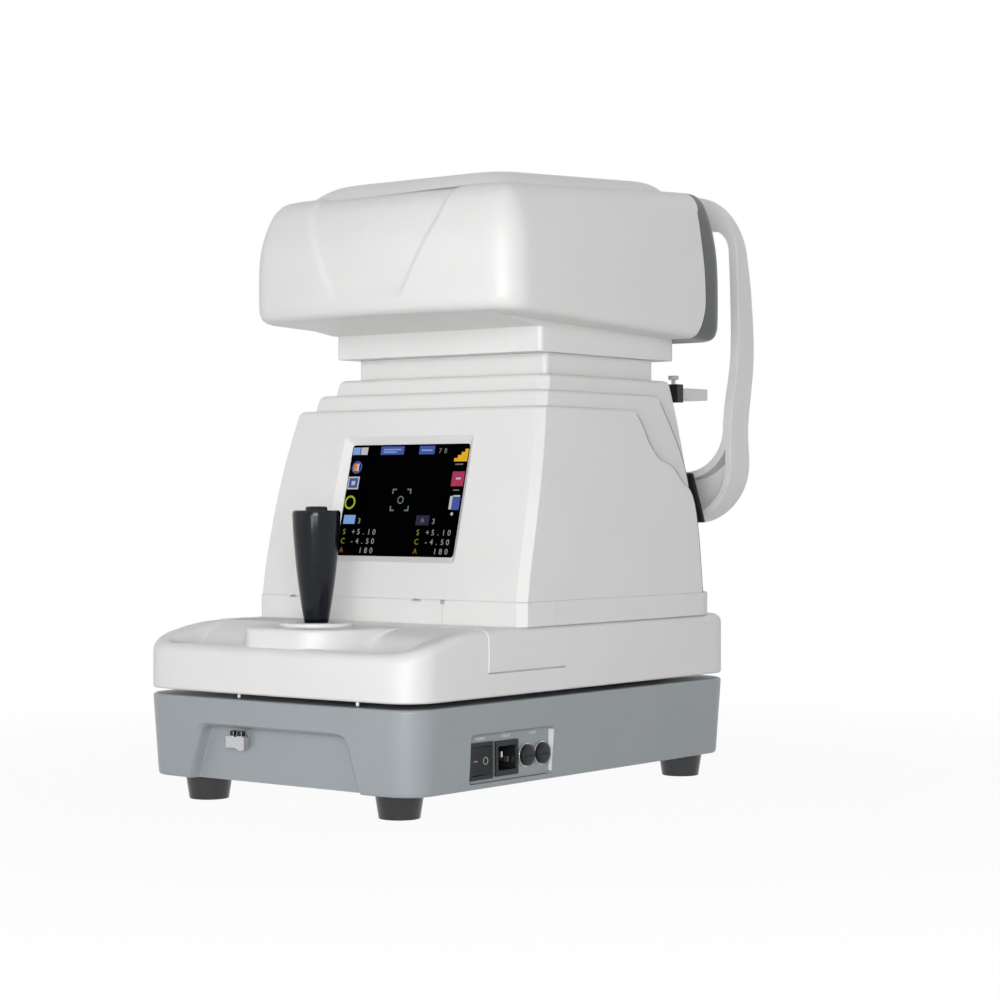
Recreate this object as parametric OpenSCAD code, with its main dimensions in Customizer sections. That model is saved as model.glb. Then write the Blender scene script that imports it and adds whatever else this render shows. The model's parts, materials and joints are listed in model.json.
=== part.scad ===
// Table-top autorefractor: a grey base with feet and mains ports, a white carriage that
// rolls over it, a measuring head that rises out of the stepped column, a joystick, and a
// face frame with a chin rest on the patient's side.
// X is the operator's right, Y points to the patient, Z is up, the origin is on the table.

/* [Base] */
// Width of the base and of the carriage tray
base_w = 264; // [262:1:290]
// Depth of the base and of the carriage tray
base_d = 400; // [390:1:430]
// Height of the base housing
base_h = 60; // [59:1:75]
// Height of the rubber feet
foot_h = 18; // [12:1:28]
// Radius of a foot where it meets the base
foot_r = 17.5; // [12:0.5:22]
// Corner radius of the base in plan
corner_r = 26; // [15:1:34]
// How far the front edge bulges out
front_bow = 4; // [2:0.5:8]
// How far the base narrows towards its foot
base_draft = 4; // [0:0.5:6]
// Wall of the moulded covers
wall = 3; // [2:0.25:4]
// Reach of the chin rest behind the base
rear_reach = 96; // [94:1:120]

/* [Ports] */
// Width of the recess for the mains ports
port_w = 96; // [94:1:110]
// Height of the recess for the mains ports
port_h = 34; // [32:1:38]
// Depth of the recess for the mains ports
port_depth = 6.5; // [4:0.5:10]
// Radius of the two fuse caps
fuse_cap_r = 7.8; // [7:0.1:8.4]

/* [Carriage] */
// Running gap between base and tray
run_gap = 4; // [3:0.5:7]
// Height of the tray
tray_h = 47; // [42:1:60]
// How far the front rim of the tray lies below its top
rim_drop = 14; // [6:1:18]
// Width of the rim round the finger trough
rim_t = 11; // [8:1:16]
// Radius of the joystick's pedestal
pedestal_r = 51; // [40:1:58]
// Side travel of the carriage each way
side_travel = 42; // [20:1:43]
// Depth travel of the carriage each way
depth_travel = 20; // [10:1:20]

/* [Column] */
// Width of the column at its foot
col_foot_w = 260; // [252:1:261]
// Width of the column at its shoulder
col_top_w = 242; // [236:1:246]
// Distance from the front of the base to the foot of the column
col_setback = 123; // [118:1:130]
// Depth of the column at its foot
col_d = 262; // [250:1:266]
// How far the front and the back of the column lean in
col_lean = 34; // [24:1:40]
// Height of the plinth under the column
plinth_h = 18; // [10:1:24]
// Height of the column from plinth to shoulder
col_h = 142; // [138:1:170]
// Rise of each of the two steps above the shoulder
step_h = 12.5; // [8:0.5:16]
// How far each step lies inside the one below, at the sides
step_side = 8.7; // [8:0.1:11]
// How far each step lies inside the one below, at the front
step_front = 14; // [10:1:18]
// Width of the screen's viewing area
screen_w = 115.2; // [100:0.1:124]
// Height of the screen's viewing area
screen_h = 86.4; // [70:0.1:92]

/* [Head] */
// Travel of the head up and down from the middle
lift_travel = 15; // [5:1:15]
// Neck that shows between column and collar
neck_gap = 16.5; // [16.5:0.5:22]
// Height of the collar under the head
collar_h = 18.5; // [12:0.5:24]
// Width of the head
head_w = 258; // [246:1:270]
// Depth of the head at its corners
head_d = 284; // [278:1:300]
// Height of the head up to its shoulders
head_h = 111; // [106:1:124]
// Height of the raised crown on the head
crown_h = 9; // [3:1:12]
// How far the head's front bulges out
head_bow = 12; // [6:1:18]
// Radius of the measuring window
window_r = 22; // [16:0.5:28]

/* [Joystick] */
// Height of the joystick's grip
grip_h = 82; // [70:1:100]
// Radius of the grip at its top
grip_top_r = 17.5; // [14:0.5:20]
// Radius of the grip at its foot
grip_foot_r = 8.5; // [7:0.5:10]
// Radius of the measuring button
button_r = 8; // [6:0.5:9]
// Travel of the measuring button
button_travel = 2.5; // [1.5:0.5:3]

/* [Face frame] */
// Width of the face frame
hoop_w = 200; // [190:1:230]
// Top of the face frame above the table
hoop_top = 475; // [470:1:510]
// Width of the uprights as the operator sees them
hoop_bar = 8; // [6:0.5:12]
// Height of the forehead bar
brow_h = 30; // [22:1:40]
// Height of the lower bar
sill_h = 43; // [34:1:48]
// Width of the chin rest
chin_w = 97; // [80:1:110]
// Top of the chin rest above the table
chin_top = 314; // [310:1:325]
// Travel of the chin rest each way from the middle
chin_travel = 25; // [10:1:25]

/* [Hidden] */
$fn = 64;
cut = 1;
fit = 0.05;
seat = 0.2;
slide_gap = 0.8;
step_gap = 0.3;

base_white = [0.87, 0.87, 0.86];
base_grey = [0.62, 0.66, 0.68];
cover_grey = [0.40, 0.43, 0.44];
near_black = [0.07, 0.08, 0.09];
steel = [0.70, 0.71, 0.72];
brass = [0.72, 0.58, 0.30];
board_green = [0.10, 0.32, 0.20];

overall_d = base_d + front_bow + rear_reach;
front_y = -overall_d / 2 + front_bow;
rear_y = front_y + base_d;
patient_y = overall_d / 2;
bow_r = pow(base_w / 2, 2) / (2 * front_bow) + front_bow / 2;
bow_y = front_y - front_bow + bow_r;

z_base = foot_h;
z_deck = z_base + base_h;
z_tray = z_deck + run_gap;
z_top = z_tray + tray_h;
z_foot = z_top + plinth_h;
z_col = z_foot + col_h;
z_mid = z_col + step_h;
z_rear = z_mid + step_h;
z_collar = z_rear + neck_gap;
z_head = z_collar + collar_h;

plate_t = 4;
deck_t = 4;
plate_top = z_base + plate_t;

foot_inset_y = 32;
foot_inset_front = 40;
foot_inset_rear = 30;
foot_places = [
    [-base_w / 2 + foot_inset_front, front_y + foot_inset_y],
    [base_w / 2 - foot_inset_front, front_y + foot_inset_y],
    [-base_w / 2 + foot_inset_rear, rear_y - foot_inset_y],
    [base_w / 2 - foot_inset_rear, rear_y - foot_inset_y]
];
screw_r = 2.5;
screw_head_r = 4.5;
screw_head_h = 3;

recess_depth = 11;
recess_top_w = 138;
recess_foot_w = 164;
recess_h = 39;
lock_x = -37;
lock_z = z_base + recess_h - 10.5;
lock_shaft_r = 3.5;
lock_depth = 9;
lock_half = 9;

port_y = front_y + 112;
port_z = z_base + port_h / 2 + 4;
panel_t = 2.5;
panel_x = base_w / 2 - port_depth;
device_z = port_z - 1.5;
rocker_y = port_y - 32.4;
rocker_w = 20;
rocker_h = 22;
frame_w = 26;
frame_lip = 2;
rocker_axis_x = panel_x - 4;
rocker_rest = 10;
inlet_y = port_y - 3.3;
inlet_w = 26;
inlet_h = 25;
socket_w = 22;
socket_h = 17;
socket_depth = 17;
socket_pin_l = 12;
fuse_pitch = 18.2;
fuse_y = [port_y + 19.5, port_y + 19.5 + fuse_pitch];
fuse_body_r = 7;
fuse_flange_r = 8.7;
fuse_stem_r = 4;
fuse_l = 28;

stage_y = front_y + 236;
rail_r = 6;
bush_r = 9.5;
bush_l = 24;
depth_rail_x = 70;
depth_rail_z = plate_top + 12;
depth_bush_y = 45;
cross_half_y = 60;
block_t = 14;
depth_rail_half = cross_half_y + depth_travel + block_t + 2;
cross_z = depth_rail_z + 10;
cross_t = 6;
side_rail_y = 35;
side_rail_z = cross_z + cross_t + 14;
side_bush_x = 45;
side_rail_half = side_bush_x + bush_l / 2 + side_travel + 2 + block_t;
cross_half_x = side_rail_half;
bracket_half = bush_r + 3;
deck_hole_x = side_bush_x + bush_l / 2 + side_travel + 4;
deck_hole_y = side_rail_y + bracket_half + depth_travel + 4;
carriage_z = z_tray + 1;
carriage_top = carriage_z + plate_t;

stick_y = front_y + 48;
z_rim = z_top - rim_drop;
trough_z = z_rim - 14;
trough_back = front_y + 72;
trough_half = base_w / 2 - 19;
socket_bore = 20;
pivot_z = z_top - 14;
tilt_max = 10;
disc_r = 27;
disc_t = 3;
grip_z = z_top + 1.5;
grip_top = grip_z + grip_h;
shaft_r = 4;
shaft_top = grip_top - 14;
disc_hole = grip_foot_r + 1.45 * (grip_z + 2 - pivot_z) * tan(tilt_max) + 1.2;
button_proud = 3;
button_l = 11;
ring_out = 14.5;
ring_in = 10.5;
ring_h = 8;
gimbal_pin_r = 2;
hub_r = 6;
hub_h = 16;

col_front = front_y + col_setback;
col_back = col_front + col_d;
front_top_y = col_front + col_lean;
col_corner = 5;
lean_power = 1.2;
flare_power = 3;
back_rate = 0.2;
screen_z = z_foot + col_h / 2 + 3;
screen_y = front_at(0, z_col - screen_z);
lean = atan((front_at(0, z_col - screen_z - 40) - front_at(0, z_col - screen_z + 40)) / 80);
screen_depth = 5.5;
screen_bevel = 6;
lcd_t = 6;
lcd_edge = 4.5;
mid_top_y = front_top_y + step_front;
rear_top_y = mid_top_y + step_front;
back_top_y = col_back - (z_rear - z_foot) * back_rate;
neck_w = col_top_w - 4 * step_side - 2 * wall - 16;
neck_corner = 4;
neck_front = rear_top_y + 15.5;
neck_back = back_top_y - wall - 5;
neck_low = z_rear - 34;
collar_side = 8.5;
collar_front = neck_front - 17.5;
collar_back = neck_back + 17;

lift_y = (neck_front + neck_back) / 2;
lift_x = 60;
lift_rod_r = 6;
lift_screw_r = 5;
lift_plate_t = 8;
lift_plate_z = neck_low + 4;
lift_rod_top = z_collar - lift_travel - 2;
motor_w = 42;
motor_h = 52;

head_front = collar_front - 70;
head_back = head_front + head_d;
head_corner = 25;
head_back_r = 22;
head_cy = (head_front + head_back) / 2;
head_bow_r = pow(head_w / 2, 2) / (2 * head_bow) + head_bow / 2;
pan_rise = 12;
pan_t = 3;
pan_z = z_head + pan_rise;
pan_top = pan_z + pan_t;
belly_front = head_front + 12;
bench_t = 6;
optic_z = z_head + 61;
barrel_r = window_r;
barrel_l = 100;
glass_t = 3;
glass_lip = 3;

post_front = rear_y + depth_travel + 3;
post_w = 80;
post_d = 21;
post_back = post_front + post_d;
post_y = post_front + post_d / 2;
post_top = chin_top - chin_travel - 27;
post_foot_t = 3;
tongue_w = 110;
tongue_end = post_back + 6;
stem_r = 6.5;
stem_low = post_top - 120;
guide_l = 30;
chin_screw_r = 3;
chin_screw_top = post_top - 55;
chin_motor_h = 30;
arm_t = 12;
chin_t = 9.4;
stem_top = chin_top - chin_t - arm_t;
chin_front = patient_y - 42;
chin_pin_y = patient_y - 26.5;
yoke_d = 9;
yoke_rise = 3;
chin_dip = 5;
chin_pin_x = 28;
chin_pin_r = 1.8;

mount_t = 3;
mount_w = 126;
mount_foot_w = 150;
hoop_front = post_back + mount_t;
hoop_low = hoop_top - 275;
sill_top = hoop_low + sill_h;
brow_low = hoop_top - brow_h;
hoop_low_r = 48;
hoop_low_in = 37;
hoop_top_r = 50;
hoop_top_in = 17;
pocket_depth = 14;
pocket_rim = 6;
pad_t = 5;

// Point on a smooth curve through a list of points, t from 0 to 1 on the piece after i
function curve_at(p, i, t) =
    let (a = p[max(i - 1, 0)], b = p[i], c = p[i + 1], d = p[min(i + 2, len(p) - 1)])
    b + t * ((c - a) / 2 + t * (a - 2.5 * b + 2 * c - d / 2 + t * (1.5 * (b - c) + (d - a) / 2)));

function smooth(p, n) = concat(
    [for (i = [0 : len(p) - 2]) for (k = [0 : n - 1]) curve_at(p, i, k / n)],
    [p[len(p) - 1]]
);

// Rectangle with round corners, from x0, y0 to x1, y1
module round_rect(x0, y0, x1, y1, r) {
    translate([x0 + r, y0]) square([x1 - x0 - 2 * r, y1 - y0]);
    translate([x0, y0 + r]) square([x1 - x0, y1 - y0 - 2 * r]);
    for (x = [x0 + r, x1 - r])
        for (y = [y0 + r, y1 - r])
            translate([x, y]) circle(r);
}

// Plan with a bulging front edge that runs smoothly into round corners, shrunk by inset
module bowed_plan(half, back, bow, bow_centre, front_r, back_r, inset) {
    corner_x = half - front_r;
    corner_y = bow_centre - sqrt(pow(bow - front_r, 2) - pow(corner_x, 2));
    touch_x = corner_x * (bow - inset) / (bow - front_r);
    inner_r = max(back_r - inset, 1);
    intersection() {
        translate([0, bow_centre]) circle(bow - inset, $fn = 720);
        translate([-touch_x, bow_centre - bow])
            square([2 * touch_x, back - inset - bow_centre + bow - inner_r]);
    }
    for (x = [-corner_x, corner_x])
        translate([x, corner_y]) circle(front_r - inset);
    round_rect(-half + inset, corner_y - inner_r, half - inset, back - inset, inner_r);
    translate([-half + inset, corner_y]) square([2 * half - 2 * inset, back - inset - inner_r - corner_y]);
}

// Plan of the base and the tray
module footprint(inset = 0) {
    bowed_plan(base_w / 2, rear_y, bow_r, bow_y, corner_r, corner_r, inset);
}

// Plan of the head
module head_plan(inset = 0) {
    bow_centre = head_front - head_bow + head_bow_r;
    bowed_plan(head_w / 2, head_back, head_bow_r, bow_centre, head_corner, head_back_r, inset);
}

// Bar along X through a side outline drawn as Y, Z
module along_x(half) {
    translate([-half, 0, 0]) rotate([90, 0, 90]) linear_extrude(2 * half) children();
}

// Bar along Y through a front outline drawn as X, Z
module along_y(y0, y1) {
    translate([0, y1, 0]) rotate([90, 0, 0]) linear_extrude(y1 - y0) children();
}

// Front face and half width of one of the nested covers, a given drop below its top
function front_at(step, drop) =
    front_top_y + step * step_front - col_lean * (1 - pow(1 - drop / (col_h + step * step_h), lean_power));
function half_at(step, drop) =
    col_top_w / 2 - step * step_side
    + (col_foot_w - col_top_w) / 2 * (1 - pow(1 - drop / (col_h + step * step_h), flare_power));

// Solid inside the outline of one of the nested covers, shrunk by inset
module column_form(step, inset) {
    slab = 0.01;
    rise = col_h + step * step_h;
    low = inset > 0 ? -cut : 0;
    hull() for (t = [0, 0.12, 0.26, 0.44, 0.68, 1]) {
        drop = t * rise;
        height = t == 0 ? rise - inset : (1 - t) * rise + (t == 1 ? low : 0);
        translate([0, 0, z_foot + height - (t == 0 ? slab : 0)]) linear_extrude(slab) round_rect(
            -half_at(step, drop) + inset, front_at(step, drop) + inset, half_at(step, drop) - inset,
            col_back - (rise - drop) * back_rate - inset, col_corner - inset, $fn = 32);
    }
}

// Shell of one of the three nested covers of the column, step 0 is the outermost
module column_shell(step) {
    difference() {
        column_form(step, 0);
        column_form(step, wall);
        if (step < 2)
            column_form(step + 1, -step_gap);
    }
}

// Frame of the screen: X to the right, Z up the leaning face, Y into the column
module at_screen() {
    translate([0, screen_y, screen_z]) rotate([-lean, 0, 0]) children();
}

module middle_box(w, d, h) {
    translate([-w / 2, 0, -h / 2]) cube([w, d, h]);
}

module rod_x(x0, x1, r) {
    translate([x0, 0, 0]) rotate([0, 90, 0]) cylinder(r = r, h = x1 - x0);
}

module rod_y(y0, y1, r) {
    translate([0, y1, 0]) rotate([90, 0, 0]) cylinder(r = r, h = y1 - y0);
}

module rod_z(z0, z1, r) {
    translate([0, 0, z0]) cylinder(r = r, h = z1 - z0);
}

// Outline of the finger recess in the base's front, as X, Z
module front_recess_outline(grow = 0) {
    polygon([
        [-recess_foot_w / 2 - grow, z_base - cut],
        [-recess_top_w / 2 - grow, z_base + recess_h + grow],
        [recess_top_w / 2 + grow, z_base + recess_h + grow],
        [recess_foot_w / 2 + grow, z_base - cut]
    ]);
}

// Solid inside the outline of the base, narrower at its foot, shrunk by inset
module base_form(inset, height) {
    slab = 0.01;
    lip = 3;
    low = inset > 0 ? -cut : 0;
    hull() {
        translate([0, 0, z_base + low]) linear_extrude(slab)
            footprint(base_draft + lip / 2 + inset, $fn = 48);
        translate([0, 0, z_base + lip]) linear_extrude(slab) footprint(base_draft + inset, $fn = 48);
        translate([0, 0, z_base + height - slab]) linear_extrude(slab) footprint(inset, $fn = 48);
    }
}

module base_housing() {
    slot_d = base_draft + 2 * wall + 2;
    color(base_grey) difference() {
        union() {
            difference() {
                base_form(0, base_h);
                base_form(wall, base_h - deck_t);
            }
            intersection() {
                along_y(front_y - front_bow, front_y + recess_depth + wall) front_recess_outline(wall);
                base_form(0, base_h);
            }
            translate([panel_x - panel_t, port_y - port_w / 2 - wall, port_z - port_h / 2 - wall])
                cube([base_w / 2 - panel_x + panel_t - wall / 2, port_w + 2 * wall, port_h + 2 * wall]);
        }
        along_y(front_y - front_bow - cut, front_y + recess_depth) front_recess_outline();
        translate([panel_x - panel_t - cut, port_y - port_w / 2, port_z - port_h / 2])
            cube([port_depth + panel_t + 2 * cut, port_w, port_h]);
        translate([-deck_hole_x, stage_y - deck_hole_y, z_deck - deck_t - cut])
            cube([2 * deck_hole_x, 2 * deck_hole_y, deck_t + 2 * cut]);
        translate([-tongue_w / 2 - seat, rear_y - slot_d, z_base - cut])
            cube([tongue_w + 2 * seat, slot_d + cut, plate_t + seat + cut]);
        translate([lock_x, front_y + recess_depth, lock_z])
            rod_y(-cut, wall + cut, lock_shaft_r + fit);
    }
}

module base_plate() {
    color(steel) difference() {
        union() {
            translate([0, 0, z_base]) linear_extrude(plate_t) difference() {
                footprint(base_draft + 1.5 + wall + seat);
                translate([-recess_foot_w / 2 - wall, front_y - front_bow])
                    square([recess_foot_w + 2 * wall, front_bow + recess_depth + wall + seat]);
                translate([panel_x - panel_t - seat, port_y - port_w / 2 - wall - seat])
                    square([port_depth + panel_t + seat, port_w + 2 * wall + 2 * seat]);
            }
            translate([-tongue_w / 2, rear_y - corner_r, z_base])
                cube([tongue_w, tongue_end - rear_y + corner_r, plate_t]);
        }
        for (p = foot_places)
            translate([p[0], p[1], z_base - cut]) cylinder(r = screw_r + fit, h = plate_t + 2 * cut);
    }
}

module foot(place) {
    lip = 2;
    color(near_black) translate([place[0], place[1], 0]) difference() {
        union() {
            cylinder(r1 = foot_r - 3, r2 = foot_r - 0.5, h = foot_h - lip);
            translate([0, 0, foot_h - lip]) cylinder(r = foot_r, h = lip);
        }
        translate([0, 0, -cut]) cylinder(r = screw_head_r + 1.5, h = foot_h / 2 + cut);
        cylinder(r = screw_r + fit, h = foot_h + cut);
    }
}

module foot_front_left() { foot(foot_places[0]); }
module foot_front_right() { foot(foot_places[1]); }
module foot_rear_left() { foot(foot_places[2]); }
module foot_rear_right() { foot(foot_places[3]); }

module base_screws() {
    color(steel) for (p = foot_places)
        translate([p[0], p[1], foot_h / 2 - screw_head_h]) {
            cylinder(r = screw_head_r, h = screw_head_h);
            cylinder(r = screw_r, h = screw_head_h + foot_h / 2 + plate_t);
        }
}

module port_panel() {
    hole_w = frame_w - 2 * frame_lip;
    inlet_hole_w = inlet_w - 2 * frame_lip;
    inlet_hole_h = inlet_h - 2 * frame_lip;
    color(base_grey) difference() {
        translate([panel_x - panel_t, port_y - port_w / 2 + seat, port_z - port_h / 2 + seat])
            cube([panel_t, port_w - 2 * seat, port_h - 2 * seat]);
        translate([panel_x - panel_t - cut, rocker_y - hole_w / 2, device_z - hole_w / 2])
            cube([panel_t + 2 * cut, hole_w, hole_w]);
        translate([panel_x - panel_t - cut, inlet_y - inlet_hole_w / 2, device_z - inlet_hole_h / 2])
            cube([panel_t + 2 * cut, inlet_hole_w, inlet_hole_h]);
        for (y = fuse_y)
            translate([0, y, device_z]) rod_x(panel_x - panel_t - cut, panel_x + cut, fuse_body_r - 1);
    }
}

module switch_frame() {
    lip_t = 1.6;
    depth = 18;
    inner_w = frame_w - 2 * frame_lip - 1;
    color(near_black) translate([panel_x, rocker_y, device_z]) difference() {
        union() {
            translate([0, -frame_w / 2, -frame_w / 2]) cube([lip_t, frame_w, frame_w]);
            translate([-depth, -frame_w / 2 + frame_lip + seat, -frame_w / 2 + frame_lip + seat])
                cube([depth, frame_w - 2 * frame_lip - 2 * seat, frame_w - 2 * frame_lip - 2 * seat]);
        }
        translate([-depth + 2, -inner_w / 2 - 0.2, -rocker_h / 2 + 0.7])
            cube([depth + lip_t, inner_w + 0.4, rocker_h - 1.4]);
        translate([rocker_axis_x - panel_x, 0, 0]) rod_z(-frame_w / 2, frame_w / 2, 1 + fit);
    }
}

module power_rocker() {
    half = rocker_w / 2 - 0.8;
    key_h = rocker_h - 2;
    color(near_black) translate([rocker_axis_x, rocker_y, device_z]) rotate([0, 0, -rocker_rest]) {
        translate([0, 0, -key_h / 2]) linear_extrude(key_h)
            polygon([[-4, -half + 3], [6, -half], [4.6, 0], [6, half], [-4, half - 3]]);
        rod_z(-key_h / 2 - 1.4, key_h / 2 + 1.4, 1);
    }
}

module power_inlet() {
    lip_t = 1.6;
    depth = socket_depth + 3;
    color(near_black) translate([panel_x, inlet_y, device_z]) difference() {
        union() {
            translate([0, -inlet_w / 2, -inlet_h / 2]) cube([lip_t, inlet_w, inlet_h]);
            translate([-depth, -inlet_w / 2 + frame_lip + seat, -inlet_h / 2 + frame_lip + seat])
                cube([depth, inlet_w - 2 * frame_lip - 2 * seat, inlet_h - 2 * frame_lip - 2 * seat]);
        }
        translate([lip_t - socket_depth, -socket_w / 2 + 1, -socket_h / 2])
            cube([socket_depth + cut, socket_w - 2, socket_h]);
    }
}

module inlet_pins() {
    color(steel) translate([panel_x + 1.6 - socket_depth, inlet_y, device_z])
        for (p = [[-7, -2], [7, -2], [0, 2]])
            translate([0, p[0] - 1, p[1] - 2]) cube([socket_pin_l, 2, 4]);
}

module fuse_holders() {
    color(steel) for (y = fuse_y) translate([0, y, device_z]) difference() {
        union() {
            rod_x(panel_x - fuse_l, panel_x, fuse_body_r - 1 - seat / 2);
            rod_x(panel_x, panel_x + 1.5, fuse_flange_r);
        }
        rod_x(panel_x - fuse_l + 2, panel_x + 2, fuse_stem_r + fit);
    }
}

module fuse_cap(y) {
    cap_h = 3.2;
    color(near_black) translate([panel_x + 1.5, y, device_z]) difference() {
        union() {
            rod_x(0.1, cap_h, fuse_cap_r);
            rod_x(-20, 0.1, fuse_stem_r);
        }
        translate([cap_h - 1.2, -fuse_cap_r - cut, -0.8]) cube([2, 2 * fuse_cap_r + 2 * cut, 1.6]);
    }
}

module fuse_cap_front() { fuse_cap(fuse_y[0]); }
module fuse_cap_rear() { fuse_cap(fuse_y[1]); }

module power_supply() {
    supply_back = stage_y - depth_rail_half - 6;
    supply_front = front_y + recess_depth + 20;
    color(steel) difference() {
        translate([-95, supply_front, plate_top]) cube([155, supply_back - supply_front, 34]);
        translate([-95 + 2, supply_front + 2, plate_top + 2]) cube([151, supply_back - supply_front - 4, 30]);
    }
}

module lock_knob() {
    face_y = front_y + recess_depth;
    color(steel) translate([lock_x, 0, lock_z]) {
        rod_y(face_y - lock_depth, face_y + wall + 6, lock_shaft_r);
        rod_y(face_y - 3.5, face_y - 0.3, 6.5);
        translate([-lock_half, face_y - lock_depth, -4]) cube([2 * lock_half, 5.4, 8]);
        translate([-5.5, face_y - lock_depth + 0.6, 3.9]) cube([3.6, 4.2, 4.1]);
        translate([1.4, face_y - lock_depth + 0.6, 3.9]) cube([4.6, 4.2, 4.1]);
        translate([0, face_y + wall + 0.3 + 4, 0]) rod_y(0, 2, lock_shaft_r + 2.5);
    }
}

module depth_rails() {
    color(steel) for (x = [-depth_rail_x, depth_rail_x])
        translate([x, stage_y, depth_rail_z]) rod_y(-depth_rail_half, depth_rail_half, rail_r);
}

module rail_blocks() {
    block_mid = depth_rail_half - block_t / 2;
    color(steel) difference() {
        for (x = [-depth_rail_x, depth_rail_x])
            for (s = [-1, 1])
                translate([x - bush_r, stage_y + s * block_mid - block_t / 2, plate_top])
                    cube([2 * bush_r, block_t, depth_rail_z - plate_top + bush_r]);
        for (x = [-depth_rail_x, depth_rail_x])
            translate([x, stage_y, depth_rail_z])
                rod_y(-depth_rail_half - cut, depth_rail_half + cut, rail_r + 0.02);
    }
}

module cross_plate() {
    cheek_mid = cross_half_x - block_t / 2;
    color(steel) difference() {
        union() {
            translate([-cross_half_x, stage_y - cross_half_y, cross_z])
                cube([2 * cross_half_x, 2 * cross_half_y, cross_t]);
            for (x = [-depth_rail_x, depth_rail_x])
                for (s = [-1, 1])
                    translate([x - bush_r - 2, stage_y + s * depth_bush_y - bush_l / 2, depth_rail_z])
                        cube([2 * bush_r + 4, bush_l, cross_z - depth_rail_z]);
            for (s = [-1, 1])
                for (y = [-side_rail_y, side_rail_y])
                    translate([s * cheek_mid - block_t / 2, stage_y + y - bush_r, cross_z + cross_t])
                        cube([block_t, 2 * bush_r, side_rail_z - cross_z - cross_t + rail_r + 2]);
        }
        for (x = [-depth_rail_x, depth_rail_x])
            translate([x, stage_y, depth_rail_z])
                rod_y(-cross_half_y - cut, cross_half_y + cut, bush_r + 0.05);
        for (y = [-side_rail_y, side_rail_y])
            translate([0, stage_y + y, side_rail_z])
                rod_x(-cross_half_x - cut, cross_half_x + cut, rail_r + 0.02);
    }
}

module depth_bushes() {
    color(brass) for (x = [-depth_rail_x, depth_rail_x])
        for (s = [-1, 1])
            translate([x, stage_y + s * depth_bush_y, depth_rail_z]) difference() {
                rod_y(-bush_l / 2, bush_l / 2, bush_r);
                rod_y(-bush_l / 2 - cut, bush_l / 2 + cut, rail_r + fit);
            }
}

module side_rails() {
    color(steel) for (y = [-side_rail_y, side_rail_y])
        translate([0, stage_y + y, side_rail_z]) rod_x(-side_rail_half, side_rail_half, rail_r);
}

module carriage_plate() {
    color(steel) difference() {
        union() {
            translate([0, 0, carriage_z]) linear_extrude(plate_t) footprint(wall + seat);
            for (x = [-side_bush_x, side_bush_x])
                for (y = [-side_rail_y, side_rail_y])
                    translate([x - bush_l / 2, stage_y + y - bracket_half, side_rail_z - bracket_half])
                        cube([bush_l, 2 * bracket_half, carriage_z - side_rail_z + bracket_half]);
        }
        for (y = [-side_rail_y, side_rail_y])
            translate([0, stage_y + y, side_rail_z])
                rod_x(-side_bush_x - bush_l, side_bush_x + bush_l, bush_r + 0.05);
    }
}

module side_bushes() {
    color(brass) for (x = [-side_bush_x, side_bush_x])
        for (y = [-side_rail_y, side_rail_y])
            translate([x, stage_y + y, side_rail_z]) difference() {
                rod_x(-bush_l / 2, bush_l / 2, bush_r);
                rod_x(-bush_l / 2 - cut, bush_l / 2 + cut, rail_r + fit);
            }
}

// Side outline of the tray, low at the front rim and level from the trough on
module tray_side() {
    ramp = [
        [front_y - front_bow - cut, z_rim], [front_y + 4, z_rim + 0.5],
        [front_y + 28, z_top - rim_drop * 0.45], [front_y + 56, z_top - rim_drop * 0.1], [front_y + 84, z_top]
    ];
    rest = [[rear_y + cut, z_top], [rear_y + cut, z_tray], [front_y - front_bow - cut, z_tray]];
    polygon(concat(smooth(ramp, 5), rest));
}

// Plan of the finger trough round the joystick's pedestal
module trough_plan() {
    difference() {
        intersection() {
            footprint(rim_t);
            round_rect(-trough_half, front_y - 20, trough_half, trough_back, 22);
        }
        translate([0, stick_y]) circle(pedestal_r, $fn = 96);
        translate([-pedestal_r, stick_y]) square([2 * pedestal_r, trough_back - stick_y + cut]);
    }
}

// Side outline of the room in the trough, whose floor rises from the front rim to the deck
module scoop_side() {
    floor_line = [
        [front_y - front_bow, trough_z], [front_y + rim_t + 6, trough_z], [front_y + 36, trough_z + 7],
        [trough_back - 16, z_top - 7], [trough_back + cut, z_top - 1.2]
    ];
    rest = [[trough_back + cut, z_top + tray_h], [front_y - front_bow, z_top + tray_h]];
    polygon(concat(smooth(floor_line, 5), rest));
}

// Plan of the joystick's pedestal, which stays level while the rim falls to the front
module pedestal_plan() {
    intersection() {
        footprint(rim_t / 2);
        union() {
            translate([0, stick_y]) circle(pedestal_r, $fn = 96);
            translate([-pedestal_r, stick_y]) square([2 * pedestal_r, front_y + 84 - stick_y]);
        }
    }
}

module tray_cover() {
    opening_half = col_foot_w / 2 - 4 * step_side;
    color(base_white) difference() {
        union() {
            intersection() {
                translate([0, 0, z_tray]) linear_extrude(tray_h) footprint();
                along_x(base_w) tray_side();
            }
            translate([0, 0, z_tray]) linear_extrude(tray_h) pedestal_plan();
        }
        translate([0, 0, z_tray - cut]) linear_extrude(trough_z - wall - z_tray + cut) footprint(wall);
        intersection() {
            translate([0, 0, z_tray - cut]) linear_extrude(tray_h - wall + cut) footprint(wall);
            translate([-base_w, trough_back + wall, 0]) cube([2 * base_w, base_d, z_top]);
        }
        intersection() {
            translate([0, 0, trough_z]) linear_extrude(tray_h) trough_plan();
            along_x(base_w) scoop_side();
        }
        translate([0, stick_y, z_tray]) cylinder(r = socket_bore, h = tray_h + cut);
        translate([-opening_half, col_front + 2 * step_front + wall + 12, z_top - wall - cut])
            cube([2 * opening_half, col_d - 2 * step_front - 2 * wall - 40, wall + 2 * cut]);
    }
}

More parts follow.
